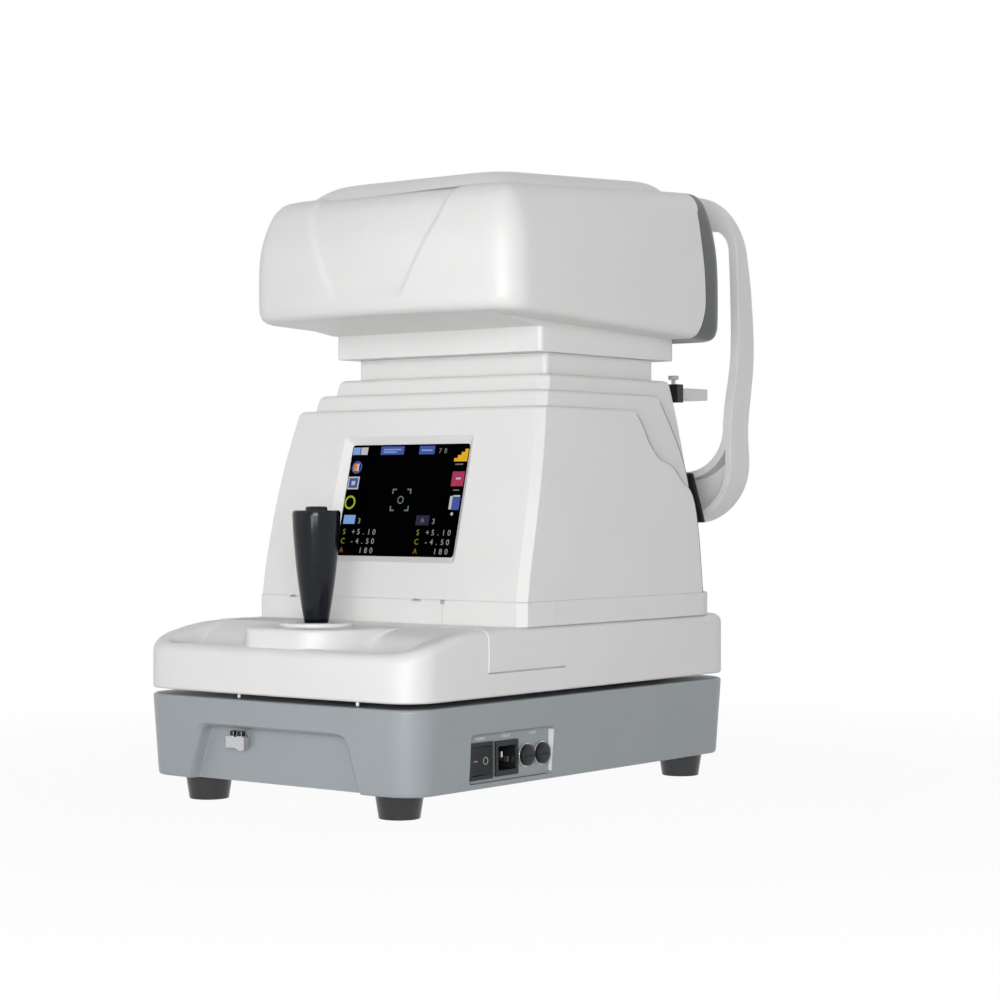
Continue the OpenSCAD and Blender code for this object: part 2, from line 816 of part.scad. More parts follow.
// Plan of the plinth, with wide round corners at the back
module plinth_plan(inset) {
    edge = 0.5;
    back_r = 30;
    half = col_foot_w / 2 + edge - inset;
    front = col_front - edge + inset;
    round_rect(-half, front, half, col_back - back_r, col_corner);
    round_rect(-half, front + back_r, half, col_back - inset, back_r - inset);
}

module plinth() {
    ledge = 2 * step_side + 2 * wall;
    color(base_white) translate([0, 0, z_top]) difference() {
        linear_extrude(plinth_h) plinth_plan(0);
        translate([0, 0, -cut]) linear_extrude(plinth_h + 2 * cut) round_rect(
            -col_foot_w / 2 + ledge, col_front + 2 * step_front + wall,
            col_foot_w / 2 - ledge, col_back - wall, col_corner);
    }
}

// Side outline that ends the front cover in an S-shaped edge
module front_cover_side() {
    edge = [
        [front_top_y + 118, z_col + cut], [front_top_y + 127, z_col - 10], [front_top_y + 135, z_col - 26],
        [front_top_y + 147, z_col - 38], [front_top_y + 163, z_col - 43], [front_top_y + 175, z_col - 54],
        [front_top_y + 192, z_col - 72], [col_back - 26, z_foot]
    ];
    polygon(concat([[col_front - cut, z_foot], [col_front - cut, z_col + cut]], smooth(edge, 4)));
}

module front_cover() {
    pad_edge = 11;
    color(base_white) difference() {
        intersection() {
            union() {
                column_shell(0);
                at_screen() translate([0, 1, 0])
                    middle_box(screen_w + 2 * pad_edge, screen_depth - 1, screen_h + 2 * pad_edge);
            }
            along_x(base_w) front_cover_side();
        }
        at_screen() hull() {
            translate([0, -0.6, 0])
                middle_box(screen_w + 2 * screen_bevel + 1, 0.1, screen_h + 2 * screen_bevel + 1);
            translate([0, screen_depth, 0]) middle_box(screen_w, 0.1, screen_h);
        }
    }
}

// Room behind the screen that the two inner covers leave free
module screen_room() {
    at_screen() translate([0, 2, 0]) middle_box(screen_w + 30, 60, screen_h + 30);
}

module mid_cover() {
    edge_top = mid_top_y + 148;
    edge = [
        [edge_top, z_mid + cut], [edge_top + 6, z_mid - 8],
        [col_back - 32, z_col - 54], [col_back - 24, z_foot]
    ];
    color(base_white) difference() {
        intersection() {
            column_shell(1);
            along_x(base_w)
                polygon(concat([[col_front - cut, z_foot], [col_front - cut, z_mid + cut]], smooth(edge, 4)));
        }
        screen_room();
        head_room(z_mid);
    }
}

// Opening in the column's top that the neck slides through
module head_room(top) {
    translate([0, 0, top - 30]) linear_extrude(60) round_rect(
        -neck_w / 2 - slide_gap, neck_front - slide_gap,
        neck_w / 2 + slide_gap, neck_back + slide_gap, neck_corner + slide_gap);
}

module rear_cover() {
    color(base_white) difference() {
        column_shell(2);
        screen_room();
        head_room(z_rear);
    }
}

module screen() {
    color(near_black) at_screen() translate([0, screen_depth, 0])
        middle_box(screen_w + 2 * lcd_edge, lcd_t, screen_h + 2 * lcd_edge);
}

module main_board() {
    color(board_green) translate([-75, neck_back - 22, carriage_top])
        cube([150, 1.6, lift_plate_z - lift_travel - 6 - carriage_top]);
}

module lift_motor() {
    color(steel) difference() {
        translate([-motor_w / 2, lift_y - motor_w / 2, carriage_top]) cube([motor_w, motor_w, motor_h]);
        translate([0, lift_y, carriage_top + motor_h])
            rod_z(-16, cut, lift_screw_r + fit);
    }
}

module lift_rods() {
    color(steel) for (x = [-lift_x, lift_x])
        translate([x, lift_y, 0]) rod_z(carriage_top, lift_rod_top, lift_rod_r);
}

module lift_screw() {
    color(steel) translate([0, lift_y, 0])
        rod_z(carriage_top + motor_h - 15, lift_rod_top - 4, lift_screw_r);
}

module joystick_socket() {
    cup_r = socket_bore - seat;
    cup_low = pivot_z - hub_h / 2 - 4;
    color(near_black) translate([0, stick_y, 0]) difference() {
        rod_z(cup_low, z_top - 3, cup_r);
        rod_z(cup_low + 2, z_top, cup_r - 2.2);
        translate([0, 0, pivot_z]) rod_x(-socket_bore, socket_bore, gimbal_pin_r + fit);
    }
}

module joystick_disc() {
    color(base_white) translate([0, stick_y, z_top]) difference() {
        cylinder(r = disc_r, h = disc_t, $fn = 96);
        translate([0, 0, -cut]) cylinder(r = disc_hole, h = disc_t + 2 * cut);
    }
}

module gimbal_ring() {
    color(steel) translate([0, stick_y, pivot_z]) difference() {
        union() {
            rod_z(-ring_h / 2, ring_h / 2, ring_out);
            rod_x(-socket_bore + 1, socket_bore - 1, gimbal_pin_r);
        }
        rod_z(-ring_h, ring_h, ring_in);
        rod_y(-ring_out - cut, ring_out + cut, gimbal_pin_r + fit);
    }
}

module joystick_shaft() {
    color(steel) translate([0, stick_y, pivot_z]) {
        rod_z(-hub_h / 2, hub_h / 2, hub_r);
        rod_z(0, shaft_top - pivot_z, shaft_r);
        rod_y(-ring_out + 0.2, ring_out - 0.2, gimbal_pin_r);
    }
}

module joystick_grip() {
    side = [
        [grip_foot_r, grip_z], [grip_foot_r + (grip_top_r - grip_foot_r) * 0.34, grip_z + grip_h * 0.22],
        [grip_foot_r + (grip_top_r - grip_foot_r) * 0.68, grip_z + grip_h * 0.5],
        [grip_foot_r + (grip_top_r - grip_foot_r) * 0.92, grip_z + grip_h * 0.8],
        [grip_top_r, grip_top - 1.5], [grip_top_r - 1.2, grip_top]
    ];
    color(near_black) translate([0, stick_y, 0]) difference() {
        rotate_extrude($fn = 72) polygon(concat([[0, grip_z]], smooth(side, 4), [[0, grip_top]]));
        rod_z(grip_z - cut, shaft_top + 0.2, shaft_r + fit);
        rod_z(grip_top + button_proud - button_l - button_travel - 0.5, grip_top + cut, button_r + fit);
    }
}

module joystick_button() {
    color(near_black) translate([0, stick_y, 0])
        rod_z(grip_top + button_proud - button_l, grip_top + button_proud, button_r);
}

// Plan of the room inside the neck
module neck_bore() {
    half = neck_w / 2 - wall;
    round_rect(-half, neck_front + wall, half, neck_back - wall, neck_corner - wall);
}

module neck() {
    color(base_white) difference() {
        translate([0, 0, neck_low]) linear_extrude(z_collar - neck_low)
            round_rect(-neck_w / 2, neck_front, neck_w / 2, neck_back, neck_corner);
        translate([0, 0, neck_low - cut]) linear_extrude(z_collar - neck_low + 2 * cut)
            neck_bore();
    }
}

// Plan of the collar and of the belly above it, shrunk by inset
module collar_plan(front, inset) {
    round_rect(
        -neck_w / 2 - collar_side + inset, front + inset,
        neck_w / 2 + collar_side - inset, collar_back - inset, neck_corner - min(inset, wall));
}

module head_pan() {
    slope = [
        [belly_front, pan_z], [belly_front, z_head + 7], [collar_front - 4, z_head],
        [collar_back + cut, z_head],
        [collar_back + cut, pan_z]
    ];
    color(base_white) difference() {
        union() {
            translate([0, 0, z_collar]) linear_extrude(pan_top - z_collar) collar_plan(collar_front, 0);
            intersection() {
                translate([0, 0, z_head]) linear_extrude(pan_rise) collar_plan(belly_front, 0);
                along_x(head_w) polygon(slope);
            }
            translate([0, 0, pan_z]) linear_extrude(pan_t) head_plan(wall + 2 * seat);
        }
        translate([0, 0, z_collar + wall]) linear_extrude(pan_top) collar_plan(collar_front, wall);
        translate([0, 0, z_collar - cut]) linear_extrude(pan_top)
            neck_bore();
    }
}

// Outside of the head with its raised crown, shrunk by inset: the top rises and the
// bottom falls towards the patient
module head_form(inset) {
    slab = 0.01;
    top = head_h;
    levels = [
        [2, 9, -2], [4, 4, -2], [9, 1, -1.8], [17, 0, -1.5], [0.4 * top, 0, 0], [0.56 * top, 1, 1],
        [0.68 * top, 3.2, 2.1], [0.79 * top, 6.5, 3], [0.88 * top, 10.5, 3.6], [0.935 * top, 15, 3.8],
        [0.97 * top, 21, 3.8], [0.99 * top, 31, 3.8]
    ];
    crown = [
        [top - 8, 103, 22, 34], [top - 1, 99, 30, 36], [top + crown_h - 2.5, 91, 38, 40],
        [top + crown_h + 1, 80, 46, 46], [top + crown_h + 2.5, 58, 62, 58]
    ];
    hull() for (p = levels)
        translate([0, head_cy, z_head + min(max(p[0], inset + 2), top - inset)]) rotate([p[2], 0, 0])
            translate([0, -head_cy, 0]) linear_extrude(slab) head_plan(p[1] + inset, $fn = 32);
    hull() for (p = crown)
        translate([0, head_cy, z_head + p[0] - inset]) rotate([3.4, 0, 0]) translate([0, -head_cy, 0])
            linear_extrude(slab) round_rect(
                -p[1] + inset, head_front + p[2] + inset,
                p[1] - inset, head_back - p[3] - inset, 20, $fn = 32);
}

module head_wall() {
    difference() {
        head_form(0);
        head_form(wall);
        translate([0, 0, z_head - 20]) linear_extrude(pan_rise + pan_t + seat + 20) head_plan(wall + seat);
    }
}

// Side outline in front of the seam between the white shell and the patient's cover
module seam_side(shift) {
    seam = [
        [head_back - 43 + shift, z_head - 20], [head_back - 42 + shift, z_head],
        [head_back - 34 + shift, z_head + 22], [head_back - 34 + shift, z_head + 45],
        [head_back - 35.5 + shift, z_head + 73], [head_back - 33 + shift, z_head + 97],
        [head_back - 29 + shift, z_head + 107], [head_back - 25 + shift, z_head + 150]
    ];
    polygon(concat([[head_front - 50, z_head + 150], [head_front - 50, z_head - 20]], smooth(seam, 4)));
}

module head_shell() {
    color(base_white) intersection() {
        head_wall();
        along_x(head_w) seam_side(0);
    }
}

module patient_cover() {
    color(cover_grey) difference() {
        head_wall();
        along_x(head_w) seam_side(seat);
        translate([0, 0, optic_z]) rod_y(head_back - wall - 20, head_back + cut, window_r - glass_lip);
        translate([0, 0, optic_z]) rod_y(head_back - glass_t, head_back + cut, window_r + seat);
    }
}

module lift_plate() {
    edge = wall + seat;
    color(steel) difference() {
        union() {
            translate([0, 0, lift_plate_z]) linear_extrude(lift_plate_t)
                round_rect(-neck_w / 2 + edge, neck_front + edge, neck_w / 2 - edge, neck_back - edge, 4);
            for (x = [-lift_x, lift_x])
                translate([x, lift_y, 0]) rod_z(lift_plate_z, lift_plate_z + 30, lift_rod_r + 4);
        }
        for (x = [-lift_x, lift_x])
            translate([x, lift_y, 0]) rod_z(lift_plate_z - cut, lift_plate_z + 31, lift_rod_r + fit);
        translate([0, lift_y, lift_plate_z])
            rod_z(-cut, lift_plate_t + cut, lift_screw_r + fit);
    }
}

module optical_bench() {
    half = neck_w / 2 + collar_side + 10;
    saddle_t = 10;
    color(steel) difference() {
        union() {
            translate([-half, lift_y - 105, pan_top]) cube([2 * half, 190, bench_t]);
            for (y = [head_back - barrel_l + 6, lift_y + 72])
                translate([-30, y, pan_top]) cube([60, saddle_t, optic_z - pan_top]);
        }
        translate([0, 0, optic_z]) rod_y(head_back - barrel_l - 20, head_back, barrel_r + seat);
    }
}

module lens_barrel() {
    color(near_black) translate([0, 0, optic_z]) difference() {
        rod_y(head_back - barrel_l, head_back - wall - 4.5, barrel_r);
        rod_y(head_back - barrel_l + 4, head_back, barrel_r - 3);
    }
}

module window_glass() {
    color([0.25, 0.28, 0.35]) translate([0, 0, optic_z]) rod_y(head_back - glass_t, head_back, window_r);
}

module camera_module() {
    floor_z = pan_top + bench_t;
    color(near_black) translate([-25, head_back - barrel_l - 60, floor_z]) {
        cube([50, 44, optic_z - floor_z + 18]);
        translate([25, 0, optic_z - floor_z]) rod_y(40, 60, 14);
    }
}

module chin_post() {
    inner_w = post_w - 2 * wall;
    color(base_white) difference() {
        union() {
            translate([0, 0, plate_top]) linear_extrude(post_top - plate_top)
                round_rect(-post_w / 2, post_front, post_w / 2, post_back, 5);
        }
        difference() {
            translate([-inner_w / 2, post_front + wall, plate_top + post_foot_t])
                cube([inner_w, post_d - 2 * wall, post_top - plate_top - post_foot_t - wall]);
            translate([-10, post_front, post_top - guide_l]) cube([20, post_d, guide_l]);
        }
        translate([0, post_y, 0]) rod_z(post_top - guide_l - cut, post_top + cut, stem_r + fit);
    }
}

module chin_motor() {
    z0 = plate_top + post_foot_t;
    color(steel) difference() {
        translate([-15, post_front + wall + 0.5, z0]) cube([30, post_d - 2 * wall - 1, chin_motor_h]);
        translate([0, post_y, 0]) rod_z(z0 + chin_motor_h - 10, z0 + chin_motor_h + cut, chin_screw_r + fit);
    }
}

module chin_screw() {
    color(steel) translate([0, post_y, 0])
        rod_z(plate_top + post_foot_t + chin_motor_h - 9.5, chin_screw_top, chin_screw_r);
}

module chin_stem() {
    arm_half = 15;
    color(near_black) difference() {
        union() {
            translate([0, post_y, 0]) rod_z(stem_low, stem_top, stem_r);
            translate([0, 0, stem_top]) linear_extrude(arm_t)
                round_rect(-arm_half, post_y - 9, arm_half, patient_y - 8, 6);
            translate([-chin_w / 2, chin_front - seat - yoke_d, stem_top + arm_t - yoke_rise])
                cube([chin_w, yoke_d, chin_t + 2 * yoke_rise]);
        }
        translate([0, post_y, 0]) rod_z(stem_low - cut, stem_low + 25, chin_screw_r + fit);
        translate([0, post_y, 0]) rod_z(stem_low + 24, chin_screw_top + chin_travel + 5, chin_screw_r + 1);
    }
}

module chin_rest() {
    dip_r = pow(chin_w / 2 - 8, 2) / (2 * chin_dip) + chin_dip / 2;
    color(base_white) difference() {
        translate([0, 0, chin_top - chin_t]) linear_extrude(chin_t)
            round_rect(-chin_w / 2, chin_front, chin_w / 2, patient_y, 7);
        translate([0, chin_pin_y + 5.5, chin_top - chin_dip + dip_r]) rod_y(0, 60, dip_r, $fn = 120);
        for (x = [-chin_pin_x, chin_pin_x])
            translate([x, chin_pin_y, 0]) rod_z(chin_top - 7, chin_top + cut, chin_pin_r + fit);
    }
}

module chin_pins() {
    color(base_white) for (x = [-chin_pin_x, chin_pin_x]) translate([x, chin_pin_y, 0]) {
        rod_z(chin_top - 6.5, chin_top + 9, chin_pin_r);
        rod_z(chin_top + 8, chin_top + 11.5, 4.5);
    }
}

module hoop_mount() {
    foot = mount_foot_w / 2;
    head = mount_w / 2;
    color(near_black) along_y(post_back, hoop_front) polygon([
        [-foot, hoop_low + 1], [foot, hoop_low + 1], [head, sill_top - 1], [-head, sill_top - 1]
    ]);
}

// Ring of the face frame from the front, as X, Z
module hoop_ring() {
    half = hoop_w / 2;
    difference() {
        union() {
            round_rect(-half, hoop_low, half, hoop_top - hoop_top_r, hoop_low_r);
            round_rect(-half, hoop_low + hoop_low_r, half, hoop_top, hoop_top_r);
        }
        round_rect(-half + hoop_bar, sill_top, half - hoop_bar, brow_low - hoop_top_in, hoop_low_in);
        round_rect(-half + hoop_bar, sill_top + hoop_low_in, half - hoop_bar, brow_low, hoop_top_in);
    }
}

// Side outline of the face frame: it swings towards the patient at cheek height
module hoop_side() {
    span = hoop_top - hoop_low;
    front = [
        [hoop_front, hoop_low - cut], [hoop_front, hoop_low + span * 0.3],
        [hoop_front + 11, hoop_low + span * 0.5], [hoop_front + 11, hoop_low + span * 0.7],
        [hoop_front + 7, hoop_low + span * 0.88], [hoop_front + 2, hoop_top + cut]
    ];
    back = [
        [hoop_front + 19, hoop_top + cut], [hoop_front + 19.5, hoop_low + span * 0.93],
        [hoop_front + 22.5, hoop_low + span * 0.86], [hoop_front + 32, hoop_low + span * 0.7],
        [hoop_front + 36, hoop_low + span * 0.5], [hoop_front + 27.5, hoop_low + span * 0.3],
        [hoop_front + 29, hoop_low + span * 0.17], [hoop_front + 24, hoop_low - cut]
    ];
    polygon(concat(smooth(front, 5), smooth(back, 5)));
}

module face_hoop() {
    color(base_white) difference() {
        intersection() {
            along_y(hoop_front, patient_y) hoop_ring();
            along_x(hoop_w) hoop_side();
        }
        along_y(hoop_front - cut, hoop_front + pocket_depth) intersection() {
            offset(delta = -pocket_rim) hoop_ring();
            translate([-hoop_w / 2, hoop_low]) square([hoop_w, sill_h + hoop_low_in]);
        }
    }
}

module brow_pad() {
    pad_y = hoop_front + 19.9;
    color(base_grey) along_y(pad_y, pad_y + pad_t)
        round_rect(-45, brow_low + brow_h / 3, 45, hoop_top - 6, 6);
}

base_housing();
base_plate();
foot_front_left();
foot_front_right();
foot_rear_left();
foot_rear_right();
base_screws();
port_panel();
switch_frame();
power_rocker();
power_inlet();
inlet_pins();
fuse_holders();
fuse_cap_front();
fuse_cap_rear();
power_supply();
lock_knob();
depth_rails();
rail_blocks();
cross_plate();
depth_bushes();
side_rails();
carriage_plate();
side_bushes();
tray_cover();
plinth();
front_cover();
mid_cover();
rear_cover();
screen();
main_board();
lift_motor();
lift_rods();
lift_screw();
joystick_socket();
joystick_disc();
gimbal_ring();
joystick_shaft();
joystick_grip();
joystick_button();
neck();
head_pan();
head_shell();
patient_cover();
lift_plate();
optical_bench();
lens_barrel();
window_glass();
camera_module();
chin_post();
chin_motor();
chin_screw();
chin_stem();
chin_rest();
chin_pins();
hoop_mount();
face_hoop();
brow_pad();
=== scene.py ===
import bmesh
import bpy
import json
import math
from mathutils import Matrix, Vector


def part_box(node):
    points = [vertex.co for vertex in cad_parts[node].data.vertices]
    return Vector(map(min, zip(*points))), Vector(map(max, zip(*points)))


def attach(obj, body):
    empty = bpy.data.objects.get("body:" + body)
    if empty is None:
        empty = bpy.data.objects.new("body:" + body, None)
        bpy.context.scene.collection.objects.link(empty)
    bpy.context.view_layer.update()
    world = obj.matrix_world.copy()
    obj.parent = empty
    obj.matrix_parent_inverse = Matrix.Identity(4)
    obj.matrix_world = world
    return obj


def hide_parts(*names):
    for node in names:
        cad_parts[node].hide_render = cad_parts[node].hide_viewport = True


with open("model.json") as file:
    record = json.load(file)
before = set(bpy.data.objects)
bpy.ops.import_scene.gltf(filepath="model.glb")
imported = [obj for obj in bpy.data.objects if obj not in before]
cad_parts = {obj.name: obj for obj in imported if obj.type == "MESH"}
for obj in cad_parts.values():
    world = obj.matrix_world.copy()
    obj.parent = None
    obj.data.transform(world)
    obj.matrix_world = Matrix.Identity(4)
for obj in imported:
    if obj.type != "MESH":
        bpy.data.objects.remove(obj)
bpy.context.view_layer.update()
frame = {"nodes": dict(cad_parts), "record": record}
scene = bpy.context.scene

MM = 0.001
QUARTER = math.pi / 2
BODIES = frame["record"]["behaviour"]["bodies"]
BODY_OF = {node: body for body, nodes in BODIES.items() for node in nodes}

# Sizes of the CAD part in millimetres, in its own frame: X to the right, Y to the patient, Z up
BASE_HALF = 132
FRONT_Y = -246
REAR_Y = 154
FRONT_BOW = 4
CORNER_R = 26
TRAY_LOW = 82
TRAY_TOP = 129
RIM_DROP = 14
RIM_T = 11
STICK_Y = -198
PEDESTAL_R = 51
TROUGH_BACK = -174
TROUGH_HALF = 113
TROUGH_Z = 101
WALL = 3
HEAD_HALF = 129
HEAD_FRONT = -133
HEAD_BACK = 151
HEAD_BOW = 12
HEAD_CORNER = 25
HEAD_BACK_R = 22
HEAD_Z = 349
HEAD_MID_Y = 9
WINDOW_Z = 410
WINDOW_R = 22
SCREEN_W = 115.2
SCREEN_H = 86.4
SCREEN_Y = -107.447
SCREEN_Z = 221
SCREEN_DEPTH = 5.5
GRIP_Z = 130.5
GRIP_H = 82
BASE_Z = 18
DECK_Z = 78
BASE_DRAFT = 4
FOOT_Z = 147
COL_H = 142
COL_TOP_HALF = 121
COL_FLARE = 9
COL_TOP_Y = -89
COL_LEAN = 34
COL_BACK = 139
BACK_RATE = 0.2
STEP_H = 12.5
STEP_SIDE = 8.7
STEP_FRONT = 14
LEAN_POWER = 1.2
FLARE_POWER = 3
PLINTH_HALF = 130.5
PLINTH_FRONT = -123.5
NECK_HALF = 92.6
NECK_FRONT = -45.5
NECK_BACK = 97.6
COLLAR_HALF = 101.1
COLLAR_BACK = 114.6
BELLY_FRONT = -121
PORT_FRONT = -182
PORT_REAR = -86
PORT_LOW = 22
PORT_HIGH = 56
DEVICE_Z = 37.5
PANEL_X = 125.5
ROCKER_AT = (121.5, -166.4, 37.5)
ROCKER_REST = 10
FUSE_Y = (-114.5, -96.3)
INLET_Y = -137.3
LOCK_X = -37
LOCK_Z = 46.5


# --- mesh helpers

def adjust(thing, **settings):
    """Sets properties of a modifier, node, letter, lamp or camera."""
    for setting, value in settings.items():
        setattr(thing, setting, value)
    return thing


def new_object(name, data):
    """Object in the scene from a mesh, letter, lamp or camera."""
    obj = bpy.data.objects.new(name, data)
    scene.collection.objects.link(obj)
    return obj


def add_mesh(name, points, faces, sharp=32):
    """New object from points in millimetres."""
    mesh = bpy.data.meshes.new(name)
    mesh.from_pydata([Vector(p) * MM for p in points], [], faces)
    mesh.validate()
    obj = new_object(name, mesh)
    shade(obj, sharp)
    return obj


def shade(obj, sharp):
    """Smooth shading that breaks at edges sharper than the given angle."""
    mesh = obj.data
    work = bmesh.new()
    work.from_mesh(mesh)
    bmesh.ops.recalc_face_normals(work, faces=work.faces)
    work.to_mesh(mesh)
    work.free()
    mesh.polygons.foreach_set("use_smooth", [True] * len(mesh.polygons))
    mesh.set_sharp_from_angle(angle=math.radians(sharp))


def even_normals(obj, sharp=32):
    """Large faces keep their own direction where they run into small rounded ones."""
    shade(obj, sharp)
    adjust(obj.modifiers.new("normals", "WEIGHTED_NORMAL"), mode="FACE_AREA", weight=50, keep_sharp=True)


def band(first, second, count):
    """Faces between two rings of points, by the numbers of their first points."""
    return [(first + i, first + (i + 1) % count, second + (i + 1) % count, second + i) for i in range(count)]


def loft(name, rings, sharp=32, mirrored_caps=False):
    """Closed solid through rings of equally many points; caps are flat faces or strips across X."""
    count = len(rings[0])
    top = (len(rings) - 1) * count
    faces = []
    for start in range(0, top, count):
        faces += band(start, start + count, count)
    if mirrored_caps:
        half = count // 2
        for start in (0, top):
            end = start + count
            faces.append((start, start + 1, end - 1))
            faces += [(start + i, start + i + 1, end - i - 1, end - i) for i in range(1, half - 1)]
            faces.append((start + half - 1, start + half, start + half + 1))
    else:
        faces.append(tuple(range(count)))
        faces.append(tuple(range(top, top + count)))
    return add_mesh(name, [p for ring in rings for p in ring], faces, sharp)


def final_mesh(obj):
    """Mesh that an object's modifiers make of it."""
    return bpy.data.meshes.new_from_object(obj.evaluated_get(bpy.context.evaluated_depsgraph_get()))


def apply_modifiers(obj):
    """The object's mesh becomes what its modifiers make of it."""
    mesh = final_mesh(obj)
    obj.modifiers.clear()
    obj.data = mesh


def boolean(obj, tool, operation):
    """Cuts, joins or intersects obj with tool, which is used up."""
    adjust(obj.modifiers.new("cut", "BOOLEAN"), object=tool, operation=operation, solver="EXACT")
    apply_modifiers(obj)
    bpy.data.objects.remove(tool)


def cut(obj, tool):
    """Takes tool away from obj."""
    boolean(obj, tool, "DIFFERENCE")


def gather(points, faces, mesh, spot):
    """Adds a mesh's faces and its points, put where spot says."""
    start = len(points)
    points += [spot(p.co) for p in mesh.vertices]
    faces += [tuple(start + i for i in face.vertices) for face in mesh.polygons]


def merged(name, pieces):
    """One object made of several, which it takes the place of."""
    points, faces = [], []
    for piece in pieces:
        gather(points, faces, piece.data, lambda at: tuple(at / MM))
        bpy.data.objects.remove(piece)
    return add_mesh(name, points, faces)


def prism_x(name, outline, half):
    """Solid along X through an outline of Y, Z points."""
    return loft(name, [[(x, y, z) for y, z in outline] for x in (-half, half)])


def level(plan, z):
    """Ring of an outline of X, Y points at one height."""
    return [(x, y, z) for x, y in plan]


def upright(name, plan, *heights):
    """Solid with one outline of X, Y points at all its heights."""
    return loft(name, [level(plan, z) for z in heights])


def box(name, low, high):
    """Plain block for cutting."""
    x0, y0, z0 = low
    x1, y1, z1 = high
    return upright(name, [(x0, y0), (x1, y0), (x1, y1), (x0, y1)], z0, z1)


def drum(name, centre, radius, length, axis):
    """Plain round bar for cutting, along X, Y or Z from centre."""
    return lathe(name, [(radius, 0), (radius, length)], centre, 64, axis)


def arc(cx, cy, r, start, end, steps):
    """Points along an arc between two angles."""
    angles = [start + (end - start) * k / steps for k in range(steps + 1)]
    return [(cx + r * math.cos(a), cy + r * math.sin(a)) for a in angles]


def round_over(radius, steps, first=0, degrees=90):
    """Steps up a rounded edge as pairs of an inset and a drop."""
    angles = [math.radians(degrees) * k / steps for k in range(first, steps + 1)]
    return [(radius * (1 - math.cos(a)), radius * (1 - math.sin(a))) for a in angles]


def lathe(name, profile, centre, sides=96, axis="Z"):
    """Turned solid through radius, height pairs from one end of the axis to the other."""
    rings = []
    for radius, height in profile:
        ring = []
        for u, v in arc(0, 0, radius, 0, 2 * math.pi, sides)[:-1]:
            offset = {"X": (height, u, v), "Y": (u, height, v), "Z": (u, v, height)}[axis]
            ring.append(tuple(c + o for c, o in zip(centre, offset)))
        rings.append(ring)
    return loft(name, rings)


def spline(points, per_span):
    """Smooth curve through points of any dimension."""
    out = []
    last = len(points) - 1
    for i in range(last):
        a, b = points[max(i - 1, 0)], points[i]
        c, d = points[i + 1], points[min(i + 2, last)]
        for k in range(per_span):
            t = k / per_span
            out.append(tuple(
                q + t * ((r - p) / 2 + t * (p - 2.5 * q + 2 * r - s / 2 + t * (1.5 * (q - r) + (s - p) / 2)))
                for p, q, r, s in zip(a, b, c, d)))
    out.append(tuple(points[last]))
    return out


def value_at(table, x):
    """Straight-line reading of a table of x, value pairs."""
    for (x0, v0), (x1, v1) in zip(table, table[1:]):
        if x <= x1:
            return v0 + (v1 - v0) * max(x - x0, 0) / (x1 - x0)
    return table[-1][1]


def unit(value):
    """Value kept from 0 to 1."""
    return min(max(value, 0), 1)


def closed(right, back, middle=0):
    """Whole outline from its right half, which starts in the front's middle, and its back."""
    return right + [(middle, back)] + [(2 * middle - x, y) for x, y in reversed(right[1:])]


def bowed_ring(half, back, bow, front, front_r, back_r, inset, front_steps):
    """Outline with a bulging front edge, shrunk by inset."""
    bow_r = half * half / (2 * bow) + bow / 2
    bow_y = front - bow + bow_r
    cx = half - front_r
    cy = bow_y - math.sqrt((bow_r - front_r) ** 2 - cx * cx)
    touch = math.atan2(cy - bow_y, cx)
    nose_r, side_r = max(front_r - inset, 1), max(back_r - inset, 1)
    nose_y = cy + max(inset - front_r + 1, 0)
    side, back = half - inset, back - inset
    edge, back_y = side - side_r, back - side_r
    right = arc(0, bow_y, bow_r - inset, -QUARTER, touch, front_steps)[:-1]
    right += arc(side - nose_r, nose_y, nose_r, touch, 0, 12)
    right += [(side, nose_y + (back_y - nose_y) * k / 20) for k in range(1, 20)]
    right += arc(edge, back_y, side_r, 0, QUARTER, 12)
    right += [(edge * (1 - k / 8), back) for k in range(1, 8)]
    return closed(right, back)


def footprint(inset):
    """Outline of the base and the tray, shrunk by inset."""
    return bowed_ring(BASE_HALF, REAR_Y, FRONT_BOW, FRONT_Y, CORNER_R, CORNER_R, inset, 16)


def footprint_at(inset, z):
    """Ring of the footprint, shrunk by inset, at one height."""
    return level(footprint(inset), z)


def head_plan(inset, front_steps=16):
    """Outline of the head, shrunk by inset."""
    return bowed_ring(
        HEAD_HALF, HEAD_BACK, HEAD_BOW, HEAD_FRONT, HEAD_CORNER, HEAD_BACK_R, inset, front_steps)


def rounded_rect(x0, y0, x1, y1, r, steps=8):
    """Rectangle outline with round corners."""
    middle, flat = (x0 + x1) / 2, (x1 - x0) / 2 - r
    right = [(middle + flat * k / 6, y0) for k in range(6)]
    right += arc(x1 - r, y0 + r, r, -QUARTER, 0, steps) + arc(x1 - r, y1 - r, r, 0, QUARTER, steps)
    return closed(right, y1, middle)


def chamfered(half, front, back, back_r):
    """Rectangle outline with narrow flats at the front corners and round back corners."""
    ease = 0.7
    start = front + CHAMFER + ease
    right = [((half - CHAMFER - ease) * k / 8, front) for k in range(9)]
    right += [(half - CHAMFER, front + 0.2), (half - 0.2, front + CHAMFER), (half, start)]
    right += [(half, start + (back - back_r - start) * k / 10) for k in range(1, 10)]
    right += arc(half - back_r, back - back_r, back_r, 0, QUARTER, 8)
    right += [((half - back_r) * (1 - k / 6), back) for k in range(1, 6)]
    return closed(right, back)


